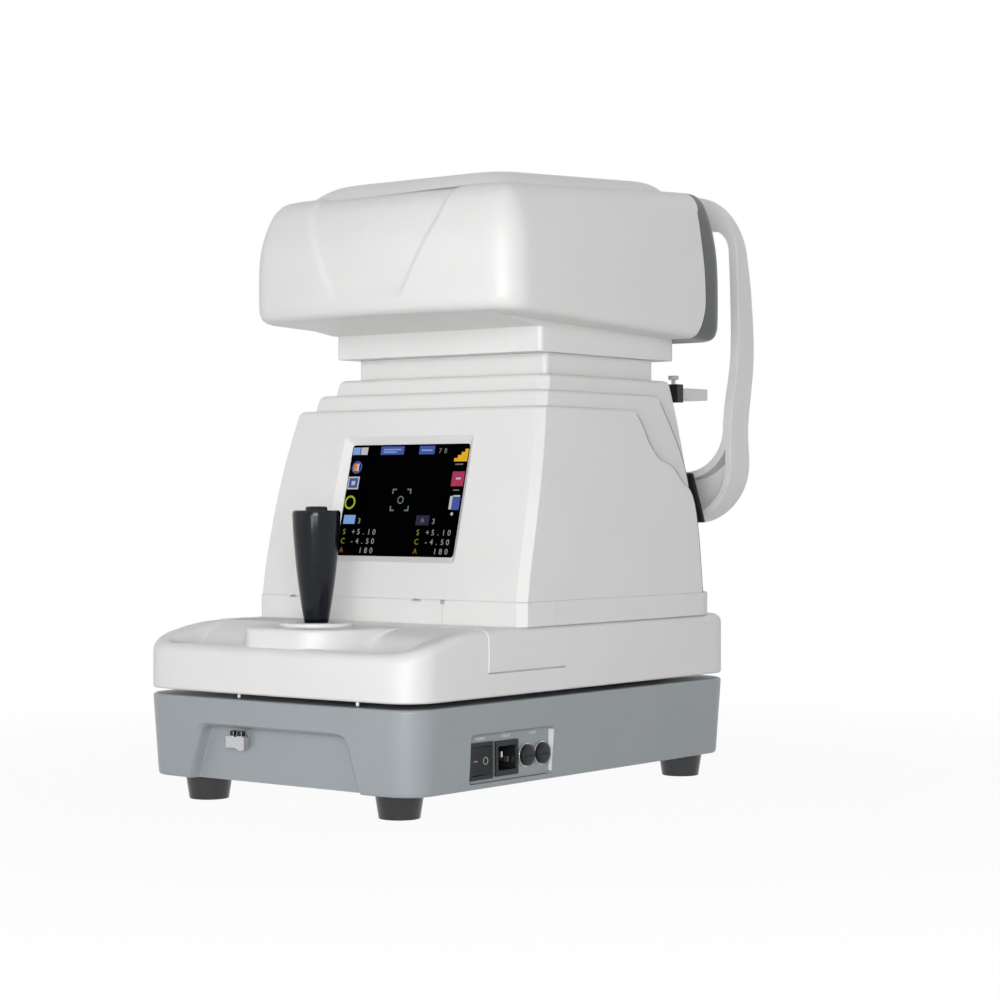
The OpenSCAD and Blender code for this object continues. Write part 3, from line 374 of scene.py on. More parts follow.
def smoothed_loop(points, step, rounds):
    """Closed outline resampled evenly with its corners eased."""
    loop = []
    for (x0, y0), (x1, y1) in zip(points, points[1:] + points[:1]):
        parts = max(round(math.hypot(x1 - x0, y1 - y0) / step), 1)
        loop += [(x0 + (x1 - x0) * k / parts, y0 + (y1 - y0) * k / parts) for k in range(parts)]
    for _ in range(rounds):
        loop = [
            tuple((a + 2 * b + c) / 4 for a, b, c in zip(loop[i - 1], loop[i], loop[(i + 1) % len(loop)]))
            for i in range(len(loop))
        ]
    return loop


def grown(loop, distance):
    """Outline moved outwards; the loop runs anticlockwise."""
    out = []
    for i, (x, y) in enumerate(loop):
        x0, y0 = loop[i - 1]
        x1, y1 = loop[(i + 1) % len(loop)]
        length = math.hypot(x1 - x0, y1 - y0)
        out.append((x + distance * (y1 - y0) / length, y - distance * (x1 - x0) / length))
    return out


def painted(obj, paint):
    """Gives an object one material, by its name."""
    obj.data.materials.clear()
    obj.data.materials.append(PAINT[paint])


def finish_piece(obj, slot, *nodes, body=None, paint=None):
    """Paints a piece as its slot unless told, and ties it to the CAD nodes it replaces or to a body."""
    painted(obj, paint or slot)
    body = body or BODY_OF[nodes[0]]
    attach(obj, body)
    if nodes:
        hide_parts(*nodes)


def rounded(node, slot, width, paint=None):
    """The CAD node with its edges rounded as moulding or machining leaves them."""
    work = bmesh.new()
    work.from_mesh(frame["nodes"][node].data)
    bmesh.ops.remove_doubles(work, verts=work.verts, dist=1e-6)
    bmesh.ops.dissolve_limit(work, angle_limit=math.radians(0.4), verts=work.verts, edges=work.edges)
    mesh = bpy.data.meshes.new(node)
    work.to_mesh(mesh)
    work.free()
    obj = new_object(node + "_moulding", mesh)
    adjust(obj.modifiers.new("round", "BEVEL"), width=width * MM, segments=3, limit_method="ANGLE",
           angle_limit=math.radians(32), miter_outer="MITER_ARC")
    apply_modifiers(obj)
    even_normals(obj, 40)
    finish_piece(obj, slot, node, paint=paint)


# --- materials

PAINT = {}
NOISE_SPAN = (0.3, 0.7)


def new_material(name):
    """Empty node material, kept under its name, and its shader."""
    material = bpy.data.materials.new(name)
    PAINT[name] = material
    material.use_nodes = True
    return material.node_tree, material.node_tree.nodes["Principled BSDF"]


def feed(tree, node, inputs):
    """Gives a node's inputs their values, or links them to outputs of other nodes."""
    for socket, value in inputs.items():
        if isinstance(value, bpy.types.NodeSocket):
            tree.links.new(value, node.inputs[socket])
        else:
            node.inputs[socket].default_value = value


def add_node(tree, kind, inputs, output=0, **settings):
    """New node with its inputs fed; gives one of its outputs."""
    node = adjust(tree.nodes.new("ShaderNode" + kind), **settings)
    feed(tree, node, inputs)
    return node.outputs[output]


def noise(tree, scale, detail, stretch=None):
    """Noise in the object's own coordinates, in features per metre."""
    place = add_node(tree, "TexCoord", {}, "Object")
    if stretch:
        place = add_node(tree, "Mapping", {"Scale": stretch, "Vector": place})
    return add_node(tree, "TexNoise", {"Scale": scale, "Detail": detail, "Vector": place}, "Fac")


def ranged(tree, source, from_low, from_high, to_low, to_high, **settings):
    """Value mapped from one span to another."""
    return add_node(tree, "MapRange", {
        "Value": source, "From Min": from_low, "From Max": from_high, "To Min": to_low, "To Max": to_high,
    }, "Result", **settings)


def spread(tree, source, low, high):
    """Noise mapped to a span of values."""
    return ranged(tree, source, *NOISE_SPAN, low, high)


def tinted(tree, source, dark, light):
    """Noise mapped to a span of colours."""
    ramp = tree.nodes.new("ShaderNodeValToRGB")
    for element, place, colour in zip(ramp.color_ramp.elements, NOISE_SPAN, (dark, light)):
        element.position = place
        element.color = (*colour, 1)
    tree.links.new(source, ramp.inputs["Fac"])
    return ramp.outputs["Color"]


def bumped(tree, source, depth, strength):
    """Surface relief of a depth in millimetres."""
    return add_node(tree, "Bump", {"Strength": strength, "Distance": depth * MM, "Height": source})


def moulded(name, dark, light, rough, grain=1400, depth=0.12, specular=0.5, coat=0):
    """Moulded plastic or rubber: slow tint, uneven sheen and a fine grain."""
    tree, shader = new_material(name)
    feed(tree, shader, {
        "Base Color": tinted(tree, noise(tree, 16, 4), dark, light),
        "Roughness": spread(tree, noise(tree, 70, 5), rough - 0.02, rough + 0.02),
        "Normal": bumped(tree, noise(tree, grain, 2), depth, 0.3),
        "Coat Weight": coat, "Coat Roughness": 0.12, "Specular IOR Level": specular,
    })


def metal(name, dark, light, rough, stretch, depth=0.05):
    """Drawn, milled or polished metal with fine lines along one direction."""
    tree, shader = new_material(name)
    lines = noise(tree, 900, 3, stretch)
    feed(tree, shader, {
        "Base Color": tinted(tree, lines, dark, light),
        "Roughness": spread(tree, lines, rough - 0.06, rough + 0.08),
        "Normal": bumped(tree, lines, depth, 0.2), "Metallic": 1,
    })


def lit(name, colour):
    """Lit dots of the display, with a faint unevenness."""
    tree, shader = new_material(name)
    feed(tree, shader, {
        "Base Color": tinted(tree, noise(tree, 900, 1), (0.002, 0.002, 0.002), (0.004, 0.004, 0.004)),
        "Emission Color": tinted(tree, noise(tree, 900, 1), tuple(c * 0.8 for c in colour), colour),
        "Emission Strength": 1, "Roughness": 0.4, "Specular IOR Level": 0.05,
    })


moulded("white_plastic", (0.785, 0.78, 0.775), (0.805, 0.80, 0.795), 0.42, 1400, 0.04)
moulded("grey_plastic", (0.315, 0.345, 0.365), (0.335, 0.365, 0.385), 0.34)
moulded("dark_cover", (0.076, 0.085, 0.088), (0.086, 0.096, 0.099), 0.38)
moulded("black_plastic", (0.008, 0.009, 0.010), (0.014, 0.015, 0.017), 0.36, 1400, 0.08, 0.3)
moulded("grip_plastic", (0.003, 0.0045, 0.0075), (0.0045, 0.0065, 0.0105), 0.15, 2200, 0.01, 0.28)
moulded("foot_rubber", (0.018, 0.018, 0.020), (0.024, 0.024, 0.026), 0.24, 900, 0.03)
moulded("pad_rubber", (0.40, 0.42, 0.43), (0.45, 0.47, 0.48), 0.6, 1000, 0.2)
metal("bright_steel", (0.5, 0.5, 0.51), (0.66, 0.66, 0.67), 0.32, (1, 1, 0.05))
metal("lock_chrome", (0.5, 0.5, 0.51), (0.62, 0.62, 0.63), 0.14, (1, 0.1, 1), 0.02)
metal("rail_steel", (0.6, 0.6, 0.61), (0.75, 0.75, 0.76), 0.16, (0.1, 0.1, 1), 0.02)
metal("bush_brass", (0.5, 0.36, 0.15), (0.66, 0.5, 0.24), 0.28, (0.2, 1, 1))
metal("frame_metal", (0.5, 0.51, 0.52), (0.64, 0.65, 0.66), 0.38, (1, 0.04, 1))
moulded("board", (0.02, 0.10, 0.045), (0.03, 0.14, 0.07), 0.4, 500, 0.2)
moulded("screen_glass", (0.0006, 0.0006, 0.0007), (0.001, 0.001, 0.0011), 0.4, 300, 0.003, 0.0)
moulded("window_glass", (0.012, 0.015, 0.028), (0.018, 0.02, 0.04), 0.08, 300, 0.004, 0.5, 1.0)
# Dark paint for the strips of painted shade along the column covers' rear edges
moulded("shade_line_paint", (0.05, 0.05, 0.05), (0.08, 0.08, 0.08), 0.6, 900, 0.05, 0.2)
moulded("label_ink", (0.66, 0.67, 0.67), (0.74, 0.75, 0.75), 0.5, 900, 0.01, 0.2)
metal("bezel_steel", (0.52, 0.52, 0.52), (0.6, 0.6, 0.6), 0.4, (1, 1, 0.2), 0.02)
moulded("mark_ink", (0.26, 0.27, 0.27), (0.32, 0.33, 0.33), 0.5, 900, 0.01, 0.2)


# --- head

HEAD_LEVELS = [
    (2, 9, -2), (4, 4, -2), (9, 1, -1.8), (17, 0, -1.5), (44.4, 0, 0), (62.2, 1, 1.0), (75.5, 3.2, 2.1),
    (87.7, 6.5, 3.0), (97.7, 10.5, 3.6), (103.8, 15, 3.8), (107.7, 21, 3.8), (109.9, 31, 3.8),
]
CROWN_LEVELS = [
    (103, 103, 22, 34), (110, 99, 30, 36), (116, 91, 38, 40), (119.5, 80, 46, 46), (121, 58, 62, 58),
    (121.4, 40, 80, 74),
]
CROWN_TILT = 3.4
SHIELD_EDGE = [(8, 24), (22, 32), (50, 48), (77, 62), (105, 68), (130, 69)]
SHIELD_DEPTH = 2.2
SHIELD_EDGE_W = 5.5
SEAM = [(108, -20), (109, 0), (117, 22), (117, 45), (115.5, 73), (118, 97), (122, 107), (126, 150)]
SEAM_GAP = 0.6


def tilted(points, dz, tilt):
    """Ring of X, Y points at a height above the head's foot, tipped about X."""
    a = math.radians(tilt)
    return [
        (x, HEAD_MID_Y + (y - HEAD_MID_Y) * math.cos(a), HEAD_Z + dz + (y - HEAD_MID_Y) * math.sin(a))
        for x, y in points
    ]


def shielded(point):
    """Moves a point of the head's front in onto the sunk shield-shaped middle panel."""
    x, y, z = point
    dz = z - HEAD_Z
    half = value_at(SHIELD_EDGE, dz)
    across = unit((half - abs(x)) / SHIELD_EDGE_W + 0.5)
    fade = unit((dz - 18) / 11)
    front = unit((-60 - y) / 30)
    rise = -SHIELD_DEPTH * across * across * (3 - 2 * across) * fade * front
    lean = math.radians(80) * unit((dz - 60) / 50) ** 1.5
    return (x, y - rise * math.cos(lean), z + rise * math.sin(lean))


def head_solid(name, inset, top_cut=0):
    """Closed head body shrunk by inset."""
    levels = spline(HEAD_LEVELS, 4 if inset else 8)
    rings = []
    for dz, level_inset, tilt in levels:
        plan = head_plan(level_inset + inset, 16 if inset else 60)
        ring = tilted(plan, dz - top_cut * max(dz - 44, 0) / 66, tilt)
        rings.append(ring if inset else [shielded(p) for p in ring])
    return loft(name, rings)


def crown_solid(name):
    """Raised middle of the head's top."""
    return loft(name, [
        tilted(rounded_rect(-half, HEAD_FRONT + front, half, HEAD_BACK - back, 20, 10), dz, CROWN_TILT)
        for dz, half, front, back in spline(CROWN_LEVELS, 4)])


def seam_tool(name, shift):
    """Everything in front of the seam between the white shell and the patient's cover."""
    seam = [(y + shift, HEAD_Z + dz) for y, dz in spline(SEAM, 6)]
    ahead = HEAD_FRONT - 60
    return prism_x(name, [(ahead, HEAD_Z + 150), (ahead, HEAD_Z - 20)] + seam, HEAD_HALF + 20)


def split_at_seam(obj, name):
    """Keeps what is in front of the seam; the rest, behind a narrow gap, becomes a new object."""
    rest = new_object(name, obj.data.copy())
    boolean(obj, seam_tool("seam", 0), "INTERSECT")
    cut(rest, seam_tool("seam", SEAM_GAP))
    return rest


head = head_solid("head_shell_moulding", 0)
boolean(head, crown_solid("crown"), "UNION")
cut(head, head_solid("head_inside", WALL, WALL))
cut(head, upright("pan_opening", head_plan(WALL + 0.2), HEAD_Z - 20, HEAD_Z + 12))
cover = split_at_seam(head, "patient_shell")
cut(cover, drum("window_hole", (0, 120, WINDOW_Z), WINDOW_R - 3, 60, "Y"))
cut(cover, drum("window_seat", (0, HEAD_BACK - 3, WINDOW_Z), WINDOW_R + 0.2, 20, "Y"))
for piece in (head, cover):
    shade(piece, 38)
finish_piece(head, "white_plastic", "head_shell")

SKIRT_TILT = -2
skirt = loft("head_skirt", [
    tilted(head_plan(inset), dz, SKIRT_TILT)
    for inset, dz in ((9, 2.1), (6.2, 2.9), (4.4, 3.9), (3.5, 4.9), (3.4, 7.4))])
cut(skirt, box("belly_room", (-COLLAR_HALF - 0.4, BELLY_FRONT - 0.4, HEAD_Z - 10),
               (COLLAR_HALF + 0.4, COLLAR_BACK + 0.4, HEAD_Z + 20)))
cover_skirt = split_at_seam(skirt, "cover_skirt")
for piece, slot in ((skirt, "white_plastic"), (cover_skirt, "dark_cover")):
    even_normals(piece)
    finish_piece(piece, slot, body="head")
finish_piece(cover, "dark_cover", "patient_cover")


# --- tray

TOP_R = 7
RIM_R = 5
PEDESTAL_EDGE_R = 3
STICK_BORE_R = 20
COLUMN_HOLE = ((-95, -68), (95, 90))
DOOR_Z = 99.5
DOOR_FRONT = -165
DOOR_REAR = -70
DOOR_RISE = 0.7
DOOR_LINE = 1.3
SCOOP = 0.18
SCOOP_FLOOR = spline([
    (-270, TROUGH_Z - 1), (FRONT_Y + RIM_T + 6, TROUGH_Z), (FRONT_Y + 36, TROUGH_Z + 7),
    (TROUGH_BACK - 16, TRAY_TOP - 7), (TROUGH_BACK, TRAY_TOP - 1.4), (TROUGH_BACK + 10, TRAY_TOP + 0.05),
    (-150, TRAY_TOP + 0.1),
], 8)
RAMP = spline([
    (FRONT_Y - FRONT_BOW - 1, TRAY_TOP - RIM_DROP), (FRONT_Y + 4, TRAY_TOP - RIM_DROP + 0.5),
    (FRONT_Y + 28, TRAY_TOP - RIM_DROP * 0.45), (FRONT_Y + 56, TRAY_TOP - RIM_DROP * 0.1),
    (FRONT_Y + 84, TRAY_TOP),
], 6)


def tray_top(y):
    """Height of the tray's top: the front rim is low and rises to the deck."""
    return value_at(RAMP, y)


def tray_form(name, rings, grow, lift):
    """Solid on the tray's footprint with its rounded top edge, grown and lifted."""
    for inset, drop in round_over(TOP_R, 8):
        rings.append([(x, y, tray_top(y) + lift - drop) for x, y in footprint(inset - grow)])
    return loft(name, rings, 32, True)


def trough_tool(side):
    """Finger trough beside the pedestal: a scoop whose floor rises to the deck, flared at its rim."""
    front = FRONT_Y + RIM_T - FRONT_BOW + 1
    start = math.acos((STICK_Y - front) / PEDESTAL_R) + 0.16
    outline = arc(0, STICK_Y, PEDESTAL_R, start - QUARTER, 0, 16)
    outline += [(PEDESTAL_R + 4, TROUGH_BACK), (TROUGH_HALF, TROUGH_BACK), (TROUGH_HALF, front + 6)]
    outline += [(TROUGH_HALF - 6, front), (PEDESTAL_R - 6, front)]
    loop = smoothed_loop(list(reversed(outline)), 2.0, 14)
    mid_x = sum(x for x, y in loop) / len(loop)
    mid_y = sum(y for x, y in loop) / len(loop)
    rings = []
    for rise, tuck in round_over(1, 9):
        share = 1 - SCOOP * tuck
        rings.append([
            (mid_x + (x - mid_x) * share, mid_y + (y - mid_y) * share,
             TROUGH_Z + (tray_top(y) - RIM_R - TROUGH_Z) * rise) for x, y in loop])
    for flare, drop in round_over(RIM_R, 6, 1, 80):
        plan = grown(loop, flare)
        rings.append([(x, y, tray_top(y) - drop) for x, y in plan])
    rings.append(level(plan, TRAY_TOP + 20))
    if side < 0:
        rings = [[(-x, y, z) for x, y, z in reversed(ring)] for ring in rings]
    trough = loft("trough", rings)
    scoop = SCOOP_FLOOR + [(-150, TRAY_TOP + 40), (-270, TRAY_TOP + 40)]
    boolean(trough, prism_x("scoop", scoop, BASE_HALF), "INTERSECT")
    return trough


def pedestal():
    """Round pedestal under the joystick with a tab into the deck behind it."""
    front = FRONT_Y - FRONT_BOW + 7.5
    outline = [(x, max(y, front)) for x, y in arc(0, STICK_Y, PEDESTAL_R, -math.pi, 0, 72)]
    outline += [(PEDESTAL_R, TROUGH_BACK + 10), (-PEDESTAL_R, TROUGH_BACK + 10)]
    loop = smoothed_loop(outline, 2.0, 6)
    rings = [level(grown(loop, 1), TROUGH_Z - 2)]
    for inset, drop in round_over(PEDESTAL_EDGE_R, 6):
        rings.append(level(grown(loop, -inset), TRAY_TOP + 0.02 - drop))
    return loft("pedestal", rings)


tray = tray_form("tray_moulding", [footprint_at(1.2, TRAY_LOW), footprint_at(0, TRAY_LOW + 1.2)], 0, 0)
for side in (1, -1):
    cut(tray, trough_tool(side))
cut(tray, box("moat", (-50, FRONT_Y + 5.8, TRAY_TOP - RIM_DROP - 0.6), (50, FRONT_Y + 24, TRAY_TOP + 9)))
boolean(tray, pedestal(), "UNION")
cut(tray, upright("hollow", footprint(WALL), TRAY_LOW - 5, TROUGH_Z - WALL))
cut(tray, box("hollow", (-BASE_HALF + 10, TROUGH_BACK + WALL + 4, TRAY_LOW),
              (BASE_HALF - 10, REAR_Y - 12, TRAY_TOP - WALL)))
cut(tray, drum("stick_bore", (0, STICK_Y, TRAY_LOW), STICK_BORE_R, 60, "Z"))
cut(tray, box("column_hole", (*COLUMN_HOLE[0], TRAY_TOP - 10), (*COLUMN_HOLE[1], TRAY_TOP + 10)))


def side_box(name, side, deep, proud, foot, top):
    """Block across the tray's side between the panel's ends."""
    x0, x1 = sorted((side * (BASE_HALF - deep), side * (BASE_HALF + proud)))
    return box(name, (x0, DOOR_FRONT, foot), (x1, DOOR_REAR, top))


def door_panel(side):
    """Panel of the tray's side that stands a little proud at its front and runs out to the rear."""
    panel = tray_form("door", [footprint_at(-DOOR_RISE, DOOR_Z - 6)], DOOR_RISE, 0.4)
    boolean(panel, side_box("door_block", side, 14, 5, DOOR_Z, TRAY_TOP + 9), "INTERSECT")
    for vertex in panel.data.vertices:
        gone = (vertex.co.y / MM - DOOR_FRONT) / (DOOR_REAR - DOOR_FRONT)
        vertex.co.x -= side * (DOOR_RISE + 0.15) * gone * MM
        vertex.co.z -= 0.6 * gone * MM if vertex.co.z > (TRAY_TOP - 10) * MM else 0
    return panel


for side in (1, -1):
    boolean(tray, door_panel(side), "UNION")
    cut(tray, side_box("door_line", side, 2.6, 3, DOOR_Z - DOOR_LINE, DOOR_Z))
even_normals(tray)
finish_piece(tray, "white_plastic", "tray_cover")


# --- base

RECESS_FOOT = 82
RECESS_TOP = 69
RECESS_H = 39
RECESS_DEPTH = 11
DECK_EDGE_R = 2.5
DECK_HOLE = ((-103, -82.5), (103, 62.5))
TONGUE_HALF = 55.2
LOCK_HOLE_R = 3.6


def draft_at(z):
    """Inset of the base's side, which leans in towards the foot."""
    return BASE_DRAFT * (DECK_Z - z) / (DECK_Z - BASE_Z - 3)


def base_solid():
    """Outside of the base with a lip round its foot and a rounded top edge."""
    lip = ((1.6, 0), (0.8, 0.4), (0.3, 1.2), (0.1, 2.4))
    rings = [footprint_at(BASE_DRAFT + inset, BASE_Z + z) for inset, z in lip]
    rings += [footprint_at(draft_at(z), z) for z in (22, 40, 58, DECK_Z - DECK_EDGE_R)]
    for inset, drop in round_over(DECK_EDGE_R, 6, 1):
        rings.append(footprint_at(draft_at(DECK_Z - drop) + inset, DECK_Z - drop))
    return loft("base_moulding", rings, 32, True)


def recess_tool(grow, depth):
    """Finger recess in the base's front, flared at its mouth."""
    foot, half, top = BASE_Z - 6, RECESS_FOOT + 2, BASE_Z + RECESS_H
    loop = smoothed_loop([(-half, foot), (half, foot), (RECESS_TOP, top), (-RECESS_TOP, top)], 3.0, 5)
    steps = ((-12, 2.6), (-0.6, 2.6), (0.6, 1.3), (2.2, 0.4), (4, 0),
             (depth - 1.5, -0.6), (depth - 0.4, -1), (depth, -2))
    return loft("recess", [[(x, FRONT_Y + y, z) for x, z in grown(loop, g + grow)] for y, g in steps])


def port_tool(depth):
    """Recess for the ports in the base's right side, with an eased rim."""
    loop = smoothed_loop([
        (PORT_FRONT, PORT_LOW), (PORT_REAR, PORT_LOW), (PORT_REAR, PORT_HIGH), (PORT_FRONT, PORT_HIGH),
    ], 1.5, 3)
    steps = ((12, 1.2), (-1.2, 1.2), (-2, 0.5), (-3, 0.1), (-depth, 0))
    return loft("port", [[(BASE_HALF + x, y, z) for y, z in grown(loop, g)] for x, g in steps])


base = base_solid()
hollow = loft("hollow", [
    footprint_at(BASE_DRAFT + 1.5 + WALL, BASE_Z - 5), footprint_at(BASE_DRAFT + WALL, BASE_Z + 3),
    footprint_at(WALL + 0.3, DECK_Z - 4)])
cut(hollow, recess_tool(WALL, RECESS_DEPTH + WALL))
cut(hollow, box("port_block", (PANEL_X - 2.5, PORT_FRONT - WALL, PORT_LOW - WALL),
                (BASE_HALF + 5, PORT_REAR + WALL, PORT_HIGH + WALL)))
cut(base, hollow)
cut(base, recess_tool(0, RECESS_DEPTH))
cut(base, port_tool(BASE_HALF - PANEL_X + 4))
cut(base, box("deck_hole", (*DECK_HOLE[0], DECK_Z - 8), (*DECK_HOLE[1], DECK_Z + 4)))
cut(base, box("tongue_slot", (-TONGUE_HALF, REAR_Y - 12, BASE_Z - 4),
              (TONGUE_HALF, REAR_Y + 4, BASE_Z + 4.2)))
cut(base, drum("lock_hole", (LOCK_X, FRONT_Y + RECESS_DEPTH - 2, LOCK_Z), LOCK_HOLE_R, 12, "Y"))
even_normals(base)
finish_piece(base, "grey_plastic", "base_housing")


# --- column

COVER_EDGE = [(29, 290), (38, 279), (46, 263), (58, 251), (74, 246), (86, 235), (103, 217), (113, 146)]
MID_EDGE = [(73, 302.5), (79, 293.5), (107, 235), (115, 146)]
CHAMFER = 6
COVER_EDGE_R = 3
# Width and sinking of the dark strips of painted shade along the covers' rear edges
SHADE_LINE_W = 1.1
SHADE_LINE_SUNK = 0.25


def top_of(step):
    """Height of one of the nested covers above the plinth."""
    return COL_H + step * STEP_H


def front_at(step, drop):
    """Front face of one of the nested covers, a given drop below its top."""
    share = unit(drop / top_of(step))
    return COL_TOP_Y + step * STEP_FRONT - COL_LEAN * (1 - (1 - share) ** LEAN_POWER)


def half_at(step, drop):
    """Half width of one of the nested covers, a given drop below its top."""
    share = unit(drop / top_of(step))
    return COL_TOP_HALF - step * STEP_SIDE + COL_FLARE * (1 - (1 - share) ** FLARE_POWER)


def cover_ring(step, height, inset):
    """Ring of one of the nested covers at a height above the plinth."""
    drop = top_of(step) - height
    back = COL_BACK - BACK_RATE * height - inset
    plan = chamfered(half_at(step, drop) - inset, front_at(step, drop) + inset, back, 5)
    return level(plan, FOOT_Z + height)


def cover_solid(name, step, inset, low=0):
    """Solid inside one of the nested covers, shrunk by inset."""
    rise = top_of(step) - max(inset, 0)
    rings = [cover_ring(step, low, inset)]
    rings += [cover_ring(step, (rise - COVER_EDGE_R) * k / 10, inset) for k in range(1, 11)]
    rings += [cover_ring(step, rise - drop, inset + more) for more, drop in round_over(COVER_EDGE_R, 5, 1)]
    return loft(name, rings)


def cover_shell(name, step):
    """One nested cover as a shell, open inside the next one."""
    shell = cover_solid(name, step, 0)
    cut(shell, cover_solid("inside", step, WALL, -3))
    if step < 2:
        cut(shell, cover_solid("next", step + 1, -0.3, -3))
    return shell


def in_front(name, edge):
    """Everything in front of a cover's rear edge seen from the side, less the strip of painted shade."""
    edge = [(y - SHADE_LINE_W, z) for y, z in edge]
    top = edge[0][1] + 4
    outline = [(-140, FOOT_Z - 1), (-140, top), (edge[0][0] - 2, top)]
    return prism_x(name, outline + spline(edge, 6), BASE_HALF + 10)


def shade_line(name, step, edge):
    """Dark strip of painted shade along the rear edge of one of the nested covers, on both sides."""
    top = FOOT_Z + top_of(step)
    path = [(half_at(step, top - z) - SHADE_LINE_SUNK, y, z) for y, z in spline(edge, 8) if z < top - COVER_EDGE_R]
    section = ((0, -SHADE_LINE_W - 0.2), (0, 0), (-2, 0), (-2, -SHADE_LINE_W - 0.2))
    return merged(name, [
        loft("strip", [[(side * (x + dx), y + dy, z) for dx, dy in section] for x, y, z in path])
        for side in (-1, 1)])


screen_drop = FOOT_Z + COL_H - SCREEN_Z
SCREEN_LEAN = math.atan((front_at(0, screen_drop - 40) - front_at(0, screen_drop + 40)) / 80)


def on_screen(x, depth, up):
    """Point of the leaning screen: to the right, into the column and up the face from its middle."""
    c, s = math.cos(SCREEN_LEAN), math.sin(SCREEN_LEAN)
    return (x, SCREEN_Y + depth * c + up * s, SCREEN_Z - depth * s + up * c)


def screen_block(name, levels):
    """Block or funnel on the screen's axis through pairs of a depth and a margin round the lit area."""
    corner_r = 2.5
    rings = []
    for depth, margin in levels:
        half_w, half_h = SCREEN_W / 2 + margin, SCREEN_H / 2 + margin
        plan = rounded_rect(-half_w, -half_h, half_w, half_h, corner_r, 4)
        rings.append([on_screen(x, depth, up) for x, up in plan])
    return loft(name, rings)


NECK_GAP = 0.8
NECK_ROOM = rounded_rect(
    -NECK_HALF - NECK_GAP, NECK_FRONT - NECK_GAP, NECK_HALF + NECK_GAP, NECK_BACK + NECK_GAP, 4.8)
FUNNEL = [(-8, 8.2), (-0.4, 7), (0.5, 6), (SCREEN_DEPTH - 0.4, 0.3), (SCREEN_DEPTH + 2, 0)]
front_cover = cover_shell("front_cover_moulding", 0)
boolean(front_cover, in_front("front_edge", COVER_EDGE), "INTERSECT")
boolean(front_cover, screen_block("pad", [(1.2, 11), (SCREEN_DEPTH, 11)]), "UNION")
cut(front_cover, screen_block("funnel", FUNNEL))

mid_cover = cover_shell("mid_cover_moulding", 1)
boolean(mid_cover, in_front("mid_edge", MID_EDGE), "INTERSECT")
cut(mid_cover, upright("neck_room", NECK_ROOM, 272, 320))
rear_cover = cover_shell("rear_cover_moulding", 2)
cut(rear_cover, upright("neck_room", NECK_ROOM, 285, 330))
for piece in (mid_cover, rear_cover):
    cut(piece, screen_block("screen_room", [(2, 15), (62, 15)]))

# Painted shade: dark strips where the covers' rear edges step down to the next cover
for name, step, edge in (("front_shade_line", 0, COVER_EDGE), ("mid_shade_line", 1, MID_EDGE)):
    finish_piece(shade_line(name, step, edge), "black_plastic", body="carriage", paint="shade_line_paint")

PLINTH_RINGS = [(0, TRAY_TOP), (0, FOOT_Z - 1.4), (0.3, FOOT_Z - 0.5), (1, FOOT_Z)]
SEAM_X = 56.2
SEAM_Y = -84
SEAM_W = 0.7
GROOVES = (
    (SEAM_X, PLINTH_FRONT - 1, SEAM_X + SEAM_W, PLINTH_FRONT + 0.6, 128),
    (PLINTH_HALF - 0.6, SEAM_Y, PLINTH_HALF + 1, SEAM_Y + SEAM_W, 128),
    (-PLINTH_HALF - 1, SEAM_Y, -PLINTH_HALF + 0.6, SEAM_Y + SEAM_W, 128),
    (-95, PLINTH_FRONT - 1, -88, PLINTH_FRONT + 6, 145.2),
    (27, PLINTH_FRONT - 1, 36, PLINTH_FRONT + 6, 145.2),
    (54.2, PLINTH_FRONT - 1, 58, PLINTH_FRONT + 6, 143.6),
)
plinth = loft("plinth_moulding", [
    level(chamfered(PLINTH_HALF - inset, PLINTH_FRONT + inset, COL_BACK - inset, 30 - inset), z)
    for inset, z in PLINTH_RINGS])
cut(plinth, upright("plinth_bore", rounded_rect(-106.6, -92, 106.6, COL_BACK - WALL, 5), 120, 160))
for x0, y0, x1, y1, foot in GROOVES:
    cut(plinth, box("groove", (x0, y0, foot), (x1, y1, FOOT_Z + 1)))
shells = {"front_cover": front_cover, "mid_cover": mid_cover, "rear_cover": rear_cover, "plinth": plinth}
for node, piece in shells.items():
    even_normals(piece, 24)
    finish_piece(piece, "white_plastic", node)


# --- rounded CAD pieces

ROUNDED = (
    ("white_plastic", {"neck": 1.0, "head_pan": 1.0, "face_hoop": 1.6, "chin_rest": 2.6, "chin_post": 1.0}),
    # The chin stem and hoop mount are real parts, but their black also paints shade: where their edges show
    # beside the column's rear edge they stand for the dark gaps behind it
    ("black_plastic", {"chin_stem": 0.8, "hoop_mount": 0.6}),
    ("grey_plastic", {"port_panel": 0.3}),
    ("screen_glass", {"screen": 0.3}),
    ("black_plastic", {"switch_frame": 0.4, "power_rocker": 0.5, "power_inlet": 0.4}),
    ("white_plastic", {"joystick_disc": 0.8}),
    ("lock_chrome", {"lock_knob": 0.7}),
    ("white_plastic", {"chin_pins": 0.6}),
    ("bright_steel", {"fuse_holders": 0.4}, "bezel_steel"),
    ("foot_rubber", {
        "foot_front_left": 0.6, "foot_front_right": 0.6, "foot_rear_left": 0.6, "foot_rear_right": 0.6}),
)
for slot, widths, *paint in ROUNDED:
    for node, width in widths.items():
        rounded(node, slot, width, *paint)


# --- forehead pad

# Shares of the pad's thickness with the inset there; its long sides are pulled in between the corners
PAD_PROFILE = [
    (0, 0.8), (0.12, 0.1), (0.3, 0), (0.55, 0), (0.72, 0.35), (0.85, 1.1), (0.93, 2.1), (0.98, 3.6), (1, 5.4),
]
PAD_PULL = 0.9
PAD_CORNER = 5.6

